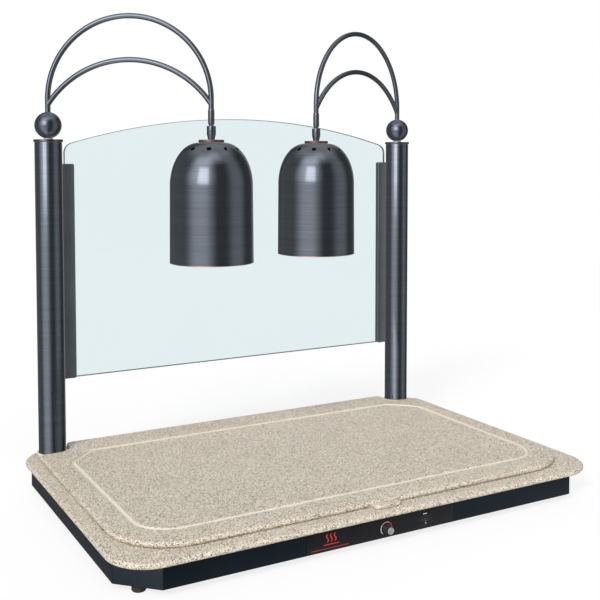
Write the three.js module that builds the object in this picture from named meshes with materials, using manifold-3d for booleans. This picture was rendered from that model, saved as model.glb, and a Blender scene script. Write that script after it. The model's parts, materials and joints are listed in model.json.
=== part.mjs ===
// Carving-station heat lamp warmer: a heated stone base with a lift-off cutting board, two posts that
// hold an arched glass guard, and two bell lamps on swinging double-arch arms.
// Millimetres, +Z up, origin on the table under the middle of the stone base, front towards -Y.
import * as THREE from "three";
import { mergeVertices } from "three/addons/utils/BufferGeometryUtils.js";
import Module from "manifold-3d";

const wasm = await Module();
wasm.setup();

// ---- driving dimensions ------------------------------------------------------------------------
const GAP = 0.3; // clearance kept between pieces that touch
const FOOT = { height: 12, radius: 11, x: 411, front: -252, rear: 240 };
const HOUSING = { halfX: 447, front: -295.5, rear: 285, chamfer: 56, height: 35, wall: 2 };
const SLAB = { halfX: 457.2, front: -304.8, rear: 293, corner: 70, thickness: 10, nose: 4.5 };
const BOARD = {
  halfX: 433.8, front: -276.8, rear: 285, corner: 107, smallCorner: 14, thickness: 10, nose: 4.5,
};
const GROOVE = { halfX: 389.5, front: -223, rear: 210, corner: 62, clip: 51, width: 9, depth: 3.5 };
const TONGUE = { width: 54, reach: 15, thickness: 7, corner: 12, root: 12 };
const POST = { x: 398.8, y: 261.1, radius: 25.4, wall: 2, topZ: 650.4 };
const NIPPLE = { radius: 5, plug: 18, bottomZ: 30, nut: 9, nutHeight: 8 };
const BLANKET = { halfX: 385, front: -235, rear: 222, thickness: 2.5, lagging: 9 };
const SEAL = { radius: 29.4, height: 4.2 };
const CAP = { radius: 27.3, thickness: 4.6, plug: 16 };
const STEM = { radius: 5, length: 36, shoulder: 2, washer: 9 };
const BALL = { radius: 25, centreZ: 681.5, flat: 24 };
const ARM = { span: 309, tube: 5.05, outerTopZ: 884, innerTopZ: 803, innerEndZ: 720, steps: 26 };
const ARM_TURN = { left: -33, right: -157.1 }; // degrees from +X to each arm at rest
const SLEEVE = { radius: 6, bottomZ: 681.6, topZ: 711.3, neck: 4.4, neckLength: 1.8 };
const COLLAR = { radius: 8.5, topZ: 679.5, lip: 8.8, mouth: 50 }; // mouth in degrees from straight down
const PIVOT_Z = 672.5; // centre of the knuckle's ball
const KNUCKLE = { ball: 5.9, neck: 3, cup: 9.1, bandZ: 664.5, radius: 8.5, footRadius: 6.4, bottomZ: 654.3 };
const DISK = { radius: 23.9, thickness: 5 };
const SHADE = {
  topZ: 648.7, rimZ: 425.2, flat: 24, shoulder: 77.2, rim: 78.2, domeHeight: 81, wall: 1.4, hole: 7,
};
const VENT = { count: 10, radius: 4.5, ring: 51, drop: 12, lean: 33, reach: 14 };
const VENT_TURN = { left: 22, right: 32 }; // degrees from the arm to the first vent
const SOCKET = { radius: 20, bore: 14.5, length: 48, crown: 10, taper: 4 };
const BULB = { neck: 13, radius: 63.5, topZ: 616, bottomZ: 450, wall: 1.5, face: 32, neckZ: 132 };
const BULB_FLARE = [[0.97, 45], [0.72, 80], [0.42, 108]]; // share of the radius, height above the face
const GLASS = { halfX: 368, y: 268.6, thickness: 6, bottomZ: 197, topZ: 700, crown: 1253, corner: 20 };
const CHANNEL = { width: 23.8, topZ: 609, wall: 1.2, gasket: 0.6, bite: 15 };
const PANEL = { left: -159.6, right: 123.4, bottomZ: 14, topZ: 45, thickness: 0.8 };
const KNOB = { x: -10.5, z: 27.5, radius: 7, length: 11, flutes: 12, flute: 0.6, seat: 0.6 };
const KNOB_CAP = { radius: 5.6, thickness: 1.4 };
const SHAFT = { radius: 3, out: 7, in: 11 };
const THERMOSTAT = { halfX: 18, halfZ: 11, depth: 30 };
const BUSH = { radius: 5, proud: 1 };
const SWITCH = { x: 65.8, z: 25.5, bezelX: 28, bezelZ: 16, bodyX: 23, bodyZ: 12.4, bezelY: 1.8, depth: 24 };
const ROCKER = { halfX: 9.6, halfZ: 4.2, face: 3, dip: 0.8, back: 1, tilt: 8, well: 5, wellDepth: 7 };
const GLAND = {
  x: -330, z: 28, flange: 12, flangeDepth: 4, nose: 9, neck: 7, reach: 6, bore: 4.5, length: 21.1,
};
const TERMINALS = { left: -300, right: -240, front: 240, rear: 268, height: 16 };

const COVER_TOP = FOOT.height + 2;
const HOUSING_TOP = FOOT.height + HOUSING.height;
const SLAB_TOP = HOUSING_TOP + SLAB.thickness;
const BOARD_TOP = SLAB_TOP + BOARD.thickness;
const FRONT_Y = HOUSING.front;

// ---- materials ---------------------------------------------------------------------------------
const finish = (color, roughness, metalness, extra = {}) =>
  new THREE.MeshStandardMaterial({ color, roughness, metalness, ...extra });
const MATERIAL = {
  blackSteel: finish(0x14181d, 0.45, 0.6),
  bronze: finish(0x4a4d58, 0.32, 0.9),
  copper: finish(0x8a5140, 0.35, 0.9),
  stone: finish(0xcfc5b4, 0.6, 0),
  rubber: finish(0x151515, 0.85, 0),
  seal: finish(0xe6dfcf, 0.6, 0),
  glass: finish(0xdcebef, 0.05, 0, { transparent: true, opacity: 0.35 }),
  steel: finish(0xaeb2b6, 0.35, 0.9),
  plastic: finish(0x101113, 0.4, 0),
  panel: finish(0x0c0e11, 0.25, 0),
  foil: finish(0xb9bcbe, 0.4, 0.8),
  wool: finish(0xc9b878, 0.95, 0),
  porcelain: finish(0xf1efe8, 0.3, 0),
  bulb: finish(0xf4ead2, 0.15, 0),
};

// ---- solids ------------------------------------------------------------------------------------
// A closed geometry as a manifold solid, for joins and cuts.
function solid(geometry) {
  const plain = geometry.index ? geometry.toNonIndexed() : geometry.clone();
  const bare = new THREE.BufferGeometry().setAttribute("position", plain.getAttribute("position"));
  const merged = mergeVertices(bare, 1e-3);
  const triVerts = new Uint32Array(merged.index.array);
  const vertProperties = new Float32Array(merged.attributes.position.array);
  return new wasm.Manifold(new wasm.Mesh({ numProp: 3, vertProperties, triVerts }));
}

function geometryOf(manifold) {
  const { numProp, vertProperties, triVerts, numVert } = manifold.getMesh();
  const position = new Float32Array(numVert * 3);
  for (let i = 0; i < numVert; i++) {
    position.set(vertProperties.subarray(i * numProp, i * numProp + 3), i * 3);
  }
  const geometry = new THREE.BufferGeometry();
  geometry.setAttribute("position", new THREE.BufferAttribute(position, 3));
  geometry.setIndex(new THREE.BufferAttribute(new Uint32Array(triVerts), 1));
  geometry.computeVertexNormals();
  return geometry;
}

const cut = (geometry, ...tools) =>
  geometryOf(tools.reduce((body, tool) => body.subtract(solid(tool)), solid(geometry)));
const join = (geometry, ...more) =>
  geometryOf(more.reduce((body, piece) => body.add(solid(piece)), solid(geometry)));

// ---- shapes ------------------------------------------------------------------------------------
const box = (x0, x1, y0, y1, z0, z1) =>
  new THREE.BoxGeometry(x1 - x0, y1 - y0, z1 - z0).translate((x0 + x1) / 2, (y0 + y1) / 2, (z0 + z1) / 2);

// A lathed solid about +Z from [radius, z] pairs that run anticlockwise with radius to the right.
function turned(profile, segments = 20) {
  const points = profile.map(([r, z]) => new THREE.Vector2(r, z));
  return new THREE.LatheGeometry(points, segments).rotateX(Math.PI / 2);
}

const disc = (radius, z0, z1, segments = 20) =>
  turned([[0, z0], [radius, z0], [radius, z1], [0, z1]], segments);
const ring = (inner, outer, z0, z1, segments = 20) =>
  turned([[inner, z0], [outer, z0], [outer, z1], [inner, z1], [inner, z0]], segments);
// The same disc with its axis along +Y.
const barrel = (radius, y0, y1, x, z, segments = 16) =>
  disc(radius, y0, y1, segments).rotateX(-Math.PI / 2).translate(x, 0, z);

// A quarter turn of a rounded corner, from angle `from` in degrees, turning by `sweep`.
function arc(cx, cy, radius, from, sweep = 90, steps = 5) {
  return Array.from({ length: steps + 1 }, (_, i) => {
    const a = THREE.MathUtils.degToRad(from + (sweep * i) / steps);
    return new THREE.Vector2(cx + radius * Math.cos(a), cy + radius * Math.sin(a));
  });
}

// A rectangle with round corners, anticlockwise from the front-right corner.
function roundedRectangle(halfX, front, rear, corner, steps = 5) {
  const x = halfX - corner;
  return [
    ...arc(x, front + corner, corner, -90, 90, steps),
    ...arc(x, rear - corner, corner, 0, 90, steps),
    ...arc(-x, rear - corner, corner, 90, 90, steps),
    ...arc(-x, front + corner, corner, 180, 90, steps),
  ];
}

// The housing's plan, its four corners cut off at 45 degrees, moved inwards by d.
function housingOutline(d) {
  const { halfX, front, rear, chamfer } = HOUSING;
  const x = halfX - d;
  const clip = chamfer - d * (2 - Math.SQRT2);
  const right = [[x - clip, front + d], [x, front + d + clip], [x, rear - d - clip], [x - clip, rear - d]];
  const left = right.map(([px, py]) => [-px, py]).reverse();
  return [...right, ...left].map(([px, py]) => new THREE.Vector2(px, py));
}

function plate(outline, z0, z1) {
  const settings = { depth: z1 - z0, bevelEnabled: false };
  return new THREE.ExtrudeGeometry(new THREE.Shape(outline), settings).translate(0, 0, z0);
}

// A plate whose edge is rounded over by `nose`, top and bottom, inside the outline.
function nosedPlate(outline, z0, z1, nose) {
  const depth = z1 - z0 - 2 * nose;
  const bevel = { bevelThickness: nose, bevelSize: nose, bevelOffset: -nose, bevelSegments: 2 };
  return new THREE.ExtrudeGeometry(new THREE.Shape(outline), { depth, ...bevel }).translate(0, 0, z0 + nose);
}

// A round bar along a curve that lies in the XZ plane.
function bar(curve, radius, steps, sides = 8) {
  const section = new THREE.Shape(arc(0, 0, radius, 0, 360, sides).slice(0, sides));
  return new THREE.ExtrudeGeometry(section, { extrudePath: curve, steps, bevelEnabled: false });
}

// ---- base --------------------------------------------------------------------------------------
// The switch's body, grown by d, from y0 to y1: its own block, and the hole it passes through.
function switchBox(d, y0, y1) {
  const hx = SWITCH.bodyX / 2 + d;
  const hz = SWITCH.bodyZ / 2 + d;
  return box(SWITCH.x - hx, SWITCH.x + hx, y0, y1, SWITCH.z - hz, SWITCH.z + hz);
}

// A shallow box that is open below; its top plate carries the stone.
function housing() {
  const { rear, wall } = HOUSING;
  const z0 = FOOT.height;
  const z1 = HOUSING_TOP - GAP;
  const shell = plate(housingOutline(0), z0, z1);
  const room = plate(housingOutline(wall), z0 - 1, z1 - wall);
  const bushHole = barrel(BUSH.radius + GAP, FRONT_Y - 1, FRONT_Y + wall + 1, KNOB.x, KNOB.z);
  const switchHole = switchBox(GAP, FRONT_Y - 1, FRONT_Y + wall + 1);
  const glandHole = barrel(GLAND.neck + GAP, rear - wall - 1, rear + 1, GLAND.x, GLAND.z);
  const postHoles = [-1, 1].map((side) =>
    disc(NIPPLE.radius + GAP, z1 - wall - 1, z1 + 1, 16).translate(side * POST.x, POST.y, 0));
  return cut(shell, room, bushHole, switchHole, glandHole, ...postHoles);
}

const bottomCover = () => plate(housingOutline(HOUSING.wall + GAP), FOOT.height, COVER_TOP);

function foot() {
  const { radius, height } = FOOT;
  return turned([[0, 0], [radius - 1.5, 0], [radius, 2], [radius, height - GAP], [0, height - GAP]], 16);
}

function slab() {
  const outline = roundedRectangle(SLAB.halfX, SLAB.front, SLAB.rear, SLAB.corner);
  const stone = nosedPlate(outline, HOUSING_TOP, SLAB_TOP, SLAB.nose);
  const holes = [-1, 1].map((side) =>
    disc(NIPPLE.radius + GAP, HOUSING_TOP - 1, SLAB_TOP + 1, 16).translate(side * POST.x, POST.y, 0));
  return cut(stone, ...holes);
}

// The board's outline: big front corners, and a rear notch at each side that wraps round the post.
function boardOutline() {
  const { halfX, front, rear, corner, smallCorner: s } = BOARD;
  const notch = SEAL.radius + 2;
  const sideX = POST.x - notch;
  const shoulderY = POST.y - notch;
  const right = [
    ...arc(halfX - corner, front + corner, corner, -90, 90, 7),
    ...arc(halfX - s, shoulderY - s, s, 0, 90, 3),
    ...arc(POST.x, POST.y, notch, 270, -90, 5),
    ...arc(sideX - s, rear - s, s, 0, 90, 3),
  ];
  const left = right.map((p) => new THREE.Vector2(-p.x, p.y)).reverse();
  return [...right, ...left];
}

// The drip groove's middle line, moved outwards by d: round front corners, clipped rear corners.
function grooveOutline(d) {
  const x = GROOVE.halfX + d;
  const front = GROOVE.front - d;
  const rear = GROOVE.rear + d;
  const corner = GROOVE.corner + d;
  const clip = GROOVE.clip + d * (2 - Math.SQRT2);
  const right = [
    ...arc(x - corner, front + corner, corner, -90, 90, 5),
    new THREE.Vector2(x, rear - clip),
    new THREE.Vector2(x - clip, rear),
  ];
  const left = right.map((p) => new THREE.Vector2(-p.x, p.y)).reverse();
  return [...right, ...left];
}

function cuttingBoard() {
  const bottom = SLAB_TOP + GAP;
  const stone = nosedPlate(boardOutline(), bottom, BOARD_TOP, BOARD.nose);
  const half = GROOVE.width / 2;
  const floor = BOARD_TOP - GROOVE.depth;
  const island = plate(grooveOutline(-half), floor - 1, BOARD_TOP + 2);
  const moat = cut(plate(grooveOutline(half), floor, BOARD_TOP + 1), island);
  const { width, reach, corner: r, root, thickness } = TONGUE;
  const tip = BOARD.front - reach;
  const tab = plate([
    ...arc(width / 2 - r, tip + r, r, -90, 90, 4),
    new THREE.Vector2(width / 2, BOARD.front + root),
    new THREE.Vector2(-width / 2, BOARD.front + root),
    ...arc(-width / 2 + r, tip + r, r, 180, 90, 4),
  ], bottom, bottom + thickness);
  return cut(join(stone, tab), moat);
}

// ---- heater and controls -----------------------------------------------------------------------
const BLANKET_TOP = HOUSING_TOP - 2 * GAP - HOUSING.wall;
const INSULATION_TOP = BLANKET_TOP - BLANKET.thickness - GAP;
const layer = (z0, z1) => box(-BLANKET.halfX, BLANKET.halfX, BLANKET.front, BLANKET.rear, z0, z1);
const heatingBlanket = () => layer(BLANKET_TOP - BLANKET.thickness, BLANKET_TOP);
const insulation = () => layer(INSULATION_TOP - BLANKET.lagging, INSULATION_TOP);

function controlPanel() {
  const y1 = FRONT_Y - GAP;
  const y0 = y1 - PANEL.thickness;
  const face = box(PANEL.left, PANEL.right, y0, y1, PANEL.bottomZ, PANEL.topZ);
  const bushHole = barrel(BUSH.radius + GAP, y0 - 1, y1 + 1, KNOB.x, KNOB.z);
  return cut(face, bushHole, switchBox(GAP, y0 - 1, y1 + 1));
}

const PANEL_FACE = FRONT_Y - GAP - PANEL.thickness;
const SHAFT_TIP = PANEL_FACE - BUSH.proud - SHAFT.out;

function thermostatBody() {
  const back = FRONT_Y + HOUSING.wall + GAP;
  const { halfX, halfZ, depth } = THERMOSTAT;
  const body = box(KNOB.x - halfX, KNOB.x + halfX, back, back + depth, KNOB.z - halfZ, KNOB.z + halfZ);
  const bush = barrel(BUSH.radius, PANEL_FACE - BUSH.proud, back + 1, KNOB.x, KNOB.z);
  const bore = barrel(SHAFT.radius + GAP, PANEL_FACE - 5, back + SHAFT.in + 1, KNOB.x, KNOB.z, 12);
  return cut(join(body, bush), bore);
}

function knobShaft() {
  const back = FRONT_Y + HOUSING.wall + GAP;
  return barrel(SHAFT.radius, SHAFT_TIP, back + SHAFT.in, KNOB.x, KNOB.z, 12);
}

// A fluted black knob whose back is hollowed over the bush and bored for the shaft.
function knob() {
  const { radius, length, flutes, flute, seat } = KNOB;
  const y1 = PANEL_FACE - seat;
  const rim = Array.from({ length: flutes * 2 }, (_, i) => {
    const a = (i * Math.PI) / flutes;
    const r = radius - (i % 2) * flute;
    return new THREE.Vector2(r * Math.cos(a), r * Math.sin(a));
  });
  const body = plate(rim, 0, length).rotateX(Math.PI / 2).translate(KNOB.x, y1, KNOB.z);
  const bushRoom = barrel(BUSH.radius + GAP, y1 - BUSH.proud - GAP, y1 + 1, KNOB.x, KNOB.z);
  const bore = barrel(SHAFT.radius + GAP, SHAFT_TIP - GAP, y1 + 1, KNOB.x, KNOB.z, 12);
  return cut(body, bushRoom, bore);
}

// A bright disc set on the knob's face.
function knobCap() {
  const back = PANEL_FACE - KNOB.seat - KNOB.length - GAP;
  return barrel(KNOB_CAP.radius, back - KNOB_CAP.thickness, back, KNOB.x, KNOB.z, 20);
}

function switchHousing() {
  const y1 = PANEL_FACE - GAP;
  const y0 = y1 - SWITCH.bezelY;
  const bx = SWITCH.bezelX / 2;
  const bz = SWITCH.bezelZ / 2;
  const bezel = box(SWITCH.x - bx, SWITCH.x + bx, y0, y1, SWITCH.z - bz, SWITCH.z + bz);
  const body = switchBox(0, y1 - 0.5, y1 + SWITCH.depth);
  const rx = ROCKER.halfX + GAP;
  const rz = ROCKER.well;
  const well = box(SWITCH.x - rx, SWITCH.x + rx, y0 - 1, y1 + ROCKER.wellDepth, SWITCH.z - rz, SWITCH.z + rz);
  return cut(join(bezel, body), well);
}

// A paddle with a shallow V face, leaning about its pivot so that one end is flush with the bezel.
function rocker() {
  const { halfX, halfZ: h, face, dip, back, tilt } = ROCKER;
  const lean = THREE.MathUtils.degToRad(tilt);
  const pivotY = PANEL_FACE - GAP - SWITCH.bezelY + face * Math.cos(lean) - h * Math.sin(lean);
  const side = [[-h, -face], [0, dip - face], [h, -face], [h, back], [-h, back]];
  const shape = new THREE.Shape(side.map(([z, y]) => new THREE.Vector2(z, y)));
  const paddle = new THREE.ExtrudeGeometry(shape, { depth: 2 * halfX, bevelEnabled: false });
  const upright = new THREE.Matrix4().makeBasis(
    new THREE.Vector3(0, 0, 1), new THREE.Vector3(0, 1, 0), new THREE.Vector3(-1, 0, 0));
  paddle.translate(0, 0, -halfX).applyMatrix4(upright).rotateX(lean);
  return paddle.translate(SWITCH.x, pivotY, SWITCH.z);
}

function terminalBlock() {
  const { left, right, front, rear, height } = TERMINALS;
  return box(left, right, front, rear, COVER_TOP + GAP, COVER_TOP + height);
}

// A hexagon and a tapered nose outside the rear wall, with a neck that passes through it.
function gland() {
  const outside = HOUSING.rear + GAP;
  const inside = outside - HOUSING.wall - GLAND.reach;
  const flange = barrel(GLAND.flange, outside, outside + GLAND.flangeDepth, GLAND.x, GLAND.z, 6);
  const nose = turned([[0, 0], [GLAND.nose, 0], [GLAND.neck, GLAND.length], [0, GLAND.length]], 16)
    .rotateX(-Math.PI / 2).translate(GLAND.x, outside + GLAND.flangeDepth - 0.5, GLAND.z);
  const neck = barrel(GLAND.neck, inside, outside + 1, GLAND.x, GLAND.z);
  return cut(join(flange, nose, neck), barrel(GLAND.bore, inside - 1, outside + 30, GLAND.x, GLAND.z));
}

// ---- posts and glass guard ---------------------------------------------------------------------
const POST_BOTTOM = SLAB_TOP + GAP;

// A plug in the post's foot with a threaded nipple that goes down through the stone and the top plate.
function postMount() {
  const plug = POST.radius - POST.wall - GAP;
  const { radius, bottomZ } = NIPPLE;
  return turned([
    [0, bottomZ], [radius, bottomZ], [radius, POST_BOTTOM], [plug, POST_BOTTOM],
    [plug, POST_BOTTOM + NIPPLE.plug], [0, POST_BOTTOM + NIPPLE.plug],
  ]);
}

function postNut() {
  const z1 = BLANKET_TOP;
  return cut(disc(NIPPLE.nut, z1 - NIPPLE.nutHeight, z1, 6), disc(NIPPLE.radius + GAP, z1 - 20, z1 + 1, 16));
}

const postTube = () => ring(POST.radius - POST.wall, POST.radius, POST_BOTTOM, POST.topZ - GAP, 24);

function postSeal() {
  const inner = POST.radius + GAP;
  const outer = SEAL.radius;
  const z0 = SLAB_TOP + GAP;
  const z1 = SLAB_TOP + SEAL.height;
  const profile = [[inner, z0], [outer, z0], [outer, z1 - 1.2], [outer - 1.2, z1], [inner, z1], [inner, z0]];
  return turned(profile, 24);
}

function postCap() {
  const plug = POST.radius - POST.wall - GAP;
  const bore = STEM.radius + GAP;
  const z0 = POST.topZ;
  const z1 = z0 + CAP.thickness;
  return turned([
    [bore, z0 - CAP.plug], [plug, z0 - CAP.plug], [plug, z0], [CAP.radius - 0.8, z0], [CAP.radius, z0 + 0.8],
    [CAP.radius, z1 - 0.8], [CAP.radius - 0.8, z1], [bore, z1], [bore, z0 - CAP.plug],
  ]);
}

// The guard's outline in X and Z: straight sides, round shoulders and one long arch on top.
function glassPanel() {
  const { halfX, y, thickness, bottomZ, topZ, crown, corner } = GLASS;
  const centreZ = topZ - crown;
  const cornerX = halfX - corner;
  const cornerZ = centreZ + Math.sqrt((crown - corner) ** 2 - cornerX ** 2);
  const meet = THREE.MathUtils.radToDeg(Math.atan2(cornerZ - centreZ, cornerX));
  const outline = [
    new THREE.Vector2(-halfX, bottomZ),
    new THREE.Vector2(halfX, bottomZ),
    ...arc(cornerX, cornerZ, corner, 0, meet, 4),
    ...arc(0, centreZ, crown, meet, 180 - 2 * meet, 16).slice(1, -1),
    ...arc(-cornerX, cornerZ, corner, 180 - meet, meet, 4),
  ];
  return plate(outline, 0, thickness).rotateX(Math.PI / 2).translate(0, y + thickness / 2, 0);
}

// Half the guard's channel depth, outside and inside its wall.
const SLOT_HALF = GLASS.thickness / 2 + CHANNEL.gasket + 2 * GAP;
const CHANNEL_HALF = SLOT_HALF + CHANNEL.wall;
const CHANNEL_BACK = POST.x - POST.radius - GAP; // the face that bolts to the post

// A straight U channel on the right-hand post; the left one is the same piece turned half round.
function glassChannel() {
  const x0 = CHANNEL_BACK - CHANNEL.width;
  const z0 = GLASS.bottomZ - 1;
  const body = box(x0, CHANNEL_BACK, GLASS.y - CHANNEL_HALF, GLASS.y + CHANNEL_HALF, z0, CHANNEL.topZ);
  const slotEnd = GLASS.halfX + 2 * GAP + CHANNEL.gasket;
  return cut(body, box(x0 - 1, slotEnd, GLASS.y - SLOT_HALF, GLASS.y + SLOT_HALF, z0 - 1, CHANNEL.topZ + 1));
}

function glassGasket() {
  const x0 = CHANNEL_BACK - CHANNEL.bite;
  const outer = SLOT_HALF - GAP;
  const inner = GLASS.thickness / 2 + GAP;
  const back = GLASS.halfX + GAP;
  const z0 = GLASS.bottomZ;
  const body = box(x0, back + CHANNEL.gasket, GLASS.y - outer, GLASS.y + outer, z0, CHANNEL.topZ - 2);
  return cut(body, box(x0 - 1, back, GLASS.y - inner, GLASS.y + inner, z0 - 1, CHANNEL.topZ));
}

// ---- arms, in a frame whose +X runs from the post's axis to the lamp's ----------------------------
const CAP_TOP = POST.topZ + CAP.thickness;
const BALL_FOOT = BALL.centreZ - BALL.flat;
const swivelStem = () => disc(STEM.radius, CAP_TOP + STEM.shoulder - STEM.length, BALL_FOOT - GAP, 16);
const swivelWasher = () => ring(STEM.radius + GAP, STEM.washer, CAP_TOP + GAP, BALL_FOOT - GAP, 20);

// A sphere with a small flat at its foot for the stem and one at its crown for the arch.
function ball() {
  const { radius, centreZ, flat } = BALL;
  const edge = THREE.MathUtils.radToDeg(Math.asin(flat / radius));
  const side = arc(0, centreZ, radius, -edge, 2 * edge, 10).map((p) => [p.x, p.y]);
  return turned([[0, centreZ - flat], ...side, [0, centreZ + flat]], 22);
}

// Legs straight up from both ends, joined by half a circle.
class OuterArch extends THREE.Curve {
  getPoint(t, target = new THREE.Vector3()) {
    const half = ARM.span / 2;
    const springZ = ARM.outerTopZ - half;
    const start = BALL.centreZ + BALL.flat + GAP;
    const end = SLEEVE.topZ + GAP;
    const legs = [springZ - start, Math.PI * half, springZ - end];
    const s = t * (legs[0] + legs[1] + legs[2]);
    if (s < legs[0]) return target.set(0, 0, start + s);
    if (s > legs[0] + legs[1]) return target.set(ARM.span, 0, springZ - (s - legs[0] - legs[1]));
    const a = Math.PI - (s - legs[0]) / half;
    return target.set(half + half * Math.cos(a), 0, springZ + half * Math.sin(a));
  }
}

// One arc of a circle from leg to leg, meeting both on a slant.
class InnerArch extends THREE.Curve {
  getPoint(t, target = new THREE.Vector3()) {
    const half = ARM.span / 2;
    const rise = ARM.innerTopZ - ARM.innerEndZ;
    const radius = (half ** 2 + rise ** 2) / (2 * rise);
    const a = Math.asin(half / radius) * (2 * t - 1);
    return target.set(half + radius * Math.sin(a), 0, ARM.innerTopZ - radius + radius * Math.cos(a));
  }
}

const outerArch = () => bar(new OuterArch(), ARM.tube, ARM.steps);
// The inner tube is coped where its ends run into the outer tube.
const innerArch = () =>
  cut(bar(new InnerArch(), ARM.tube, 22), bar(new OuterArch(), ARM.tube + GAP, ARM.steps));

function sleeve() {
  const { radius, bottomZ, topZ, neck, neckLength } = SLEEVE;
  return turned([
    [0, bottomZ - neckLength], [neck, bottomZ - neckLength], [neck, bottomZ], [radius - 0.8, bottomZ],
    [radius, bottomZ + 1], [radius, topZ - 1], [radius - 0.8, topZ], [0, topZ],
  ], 14);
}

// The upper half of the knuckle: a seat round the ball, open below, with a lip that is part of a sphere
// about the ball's centre, so that the lower half turns under it.
function collar() {
  const { radius, topZ, lip, mouth } = COLLAR;
  const seat = arc(0, PIVOT_Z, KNUCKLE.ball + GAP, 90, mouth - 180, 6).map((p) => [Math.max(p.x, 0), p.y]);
  const rim = THREE.MathUtils.radToDeg(Math.acos(radius / lip));
  const under = arc(0, PIVOT_Z, lip, mouth - 90, 90 - mouth - rim, 3).map((p) => [p.x, p.y]);
  return turned([...seat, ...under, [radius, topZ - 1], [radius - 1, topZ], [0, topZ]], 14);
}

// ---- lamps, in the same frame --------------------------------------------------------------------
// The lower half of the knuckle: a ball on a neck, a cup round the neck and a taper down to the disk.
function knuckle() {
  const { ball: r, neck, cup, bandZ, radius, footRadius, bottomZ } = KNUCKLE;
  const inner = THREE.MathUtils.radToDeg(Math.acos(neck / cup));
  const outer = THREE.MathUtils.radToDeg(Math.acos(radius / cup));
  const bowl = arc(0, PIVOT_Z, cup, -outer, outer - inner, 5).map((p) => [p.x, p.y]);
  const start = THREE.MathUtils.radToDeg(Math.acos(neck / r));
  const sphere = arc(0, PIVOT_Z, r, -start, 90 + start, 5).map((p) => [Math.max(p.x, 0), p.y]);
  return turned([[0, bottomZ], [footRadius, bottomZ], [radius, bandZ], ...bowl, ...sphere], 14);
}

const DISK_TOP = KNUCKLE.bottomZ - GAP;
const disk = () => disc(DISK.radius, DISK_TOP - DISK.thickness, DISK_TOP);

// The bell's outer radius, from the flat on its crown out over a quarter ellipse, at dome angle a.
function domePoint(a, inset) {
  const { topZ, flat, shoulder, domeHeight } = SHADE;
  const r = flat + (shoulder - flat - inset) * Math.sin(a);
  return [r, topZ - domeHeight + (domeHeight - inset) * Math.cos(a)];
}

function shade(side) {
  const { rimZ, rim, flat, wall, topZ, hole } = SHADE;
  const steps = 5;
  const angles = Array.from({ length: steps + 1 }, (_, i) => (i / steps) * (Math.PI / 2));
  const outer = angles.map((a) => domePoint(a, 0)).reverse();
  const inner = angles.map((a) => domePoint(a, wall));
  const bell = turned([
    [rim, rimZ], ...outer, [flat * 0.5, topZ], [hole, topZ], [hole, topZ - wall], [flat * 0.5, topZ - wall],
    ...inner, [rim - wall, rimZ], [rim, rimZ],
  ], 24);
  const vents = Array.from({ length: VENT.count }, (_, i) => {
    const turn = THREE.MathUtils.degToRad(VENT_TURN[side]) + (2 * Math.PI * i) / VENT.count;
    const vent = disc(VENT.radius, -VENT.reach, VENT.reach, 6).rotateY(THREE.MathUtils.degToRad(VENT.lean));
    return vent.translate(VENT.ring, 0, topZ - VENT.drop).rotateZ(turn);
  });
  return cut(bell, ...vents);
}

function lampSocket() {
  const top = SHADE.topZ - SHADE.wall - GAP;
  const { radius, bore, length, crown, taper } = SOCKET;
  return turned([
    [0, top - crown], [bore, top - crown], [bore, top - length], [radius, top - length],
    [radius, top - taper], [radius - taper, top], [0, top],
  ], 16);
}

// A reflector heat bulb: a blown shell with a shallow domed face, a flare, and a cap that is open above.
function bulb() {
  const { neck, radius, topZ, bottomZ, wall, face, neckZ } = BULB;
  const shell = (d) => {
    const dome = Array.from({ length: 5 }, (_, i) => {
      const a = (i / 4) * (Math.PI / 2);
      return [(radius - d) * Math.sin(a), bottomZ + face - (face - d) * Math.cos(a)];
    });
    const flare = BULB_FLARE.map(([share, height]) => [radius * share - d, bottomZ + height]);
    const throat = [[neck + 3 - d, bottomZ + neckZ - 4], [neck - d, bottomZ + neckZ]];
    return [...dome, ...flare, ...throat, [neck - d, topZ]];
  };
  return turned([...shell(0), ...shell(wall).reverse()], 18);
}

// ---- assembly ------------------------------------------------------------------------------------
const root = new THREE.Group();

function add(parent, name, geometry, material) {
  const mesh = new THREE.Mesh(geometry, material);
  mesh.name = name;
  parent.add(mesh);
  return mesh;
}

function addBase() {
  add(root, "base_housing", housing(), MATERIAL.blackSteel);
  add(root, "bottom_cover", bottomCover(), MATERIAL.blackSteel);
  add(root, "stone_slab", slab(), MATERIAL.stone);
  add(root, "cutting_board", cuttingBoard(), MATERIAL.stone);
  add(root, "heating_blanket", heatingBlanket(), MATERIAL.foil);
  add(root, "insulation_board", insulation(), MATERIAL.wool);
  add(root, "terminal_block", terminalBlock(), MATERIAL.porcelain);
  add(root, "cable_gland", gland(), MATERIAL.plastic);
  for (const end of ["front", "rear"]) {
    for (const [side, sign] of [["left", -1], ["right", 1]]) {
      add(root, `foot_${end}_${side}`, foot(), MATERIAL.rubber).position.set(sign * FOOT.x, FOOT[end], 0);
    }
  }
}

function addControls() {
  add(root, "control_panel", controlPanel(), MATERIAL.panel);
  add(root, "thermostat_body", thermostatBody(), MATERIAL.steel);
  add(root, "knob_shaft", knobShaft(), MATERIAL.steel);
  add(root, "control_knob", knob(), MATERIAL.plastic);
  add(root, "knob_cap", knobCap(), MATERIAL.steel);
  add(root, "switch_housing", switchHousing(), MATERIAL.plastic);
  add(root, "switch_rocker", rocker(), MATERIAL.plastic);
}

function addPost(side, sign) {
  const post = new THREE.Group();
  post.position.set(sign * POST.x, POST.y, 0);
  root.add(post);
  add(post, `post_mount_${side}`, postMount(), MATERIAL.steel);
  add(post, `post_nut_${side}`, postNut(), MATERIAL.steel);
  add(post, `post_${side}`, postTube(), MATERIAL.bronze);
  add(post, `post_seal_${side}`, postSeal(), MATERIAL.seal);
  add(post, `post_cap_${side}`, postCap(), MATERIAL.bronze);
}

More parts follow.
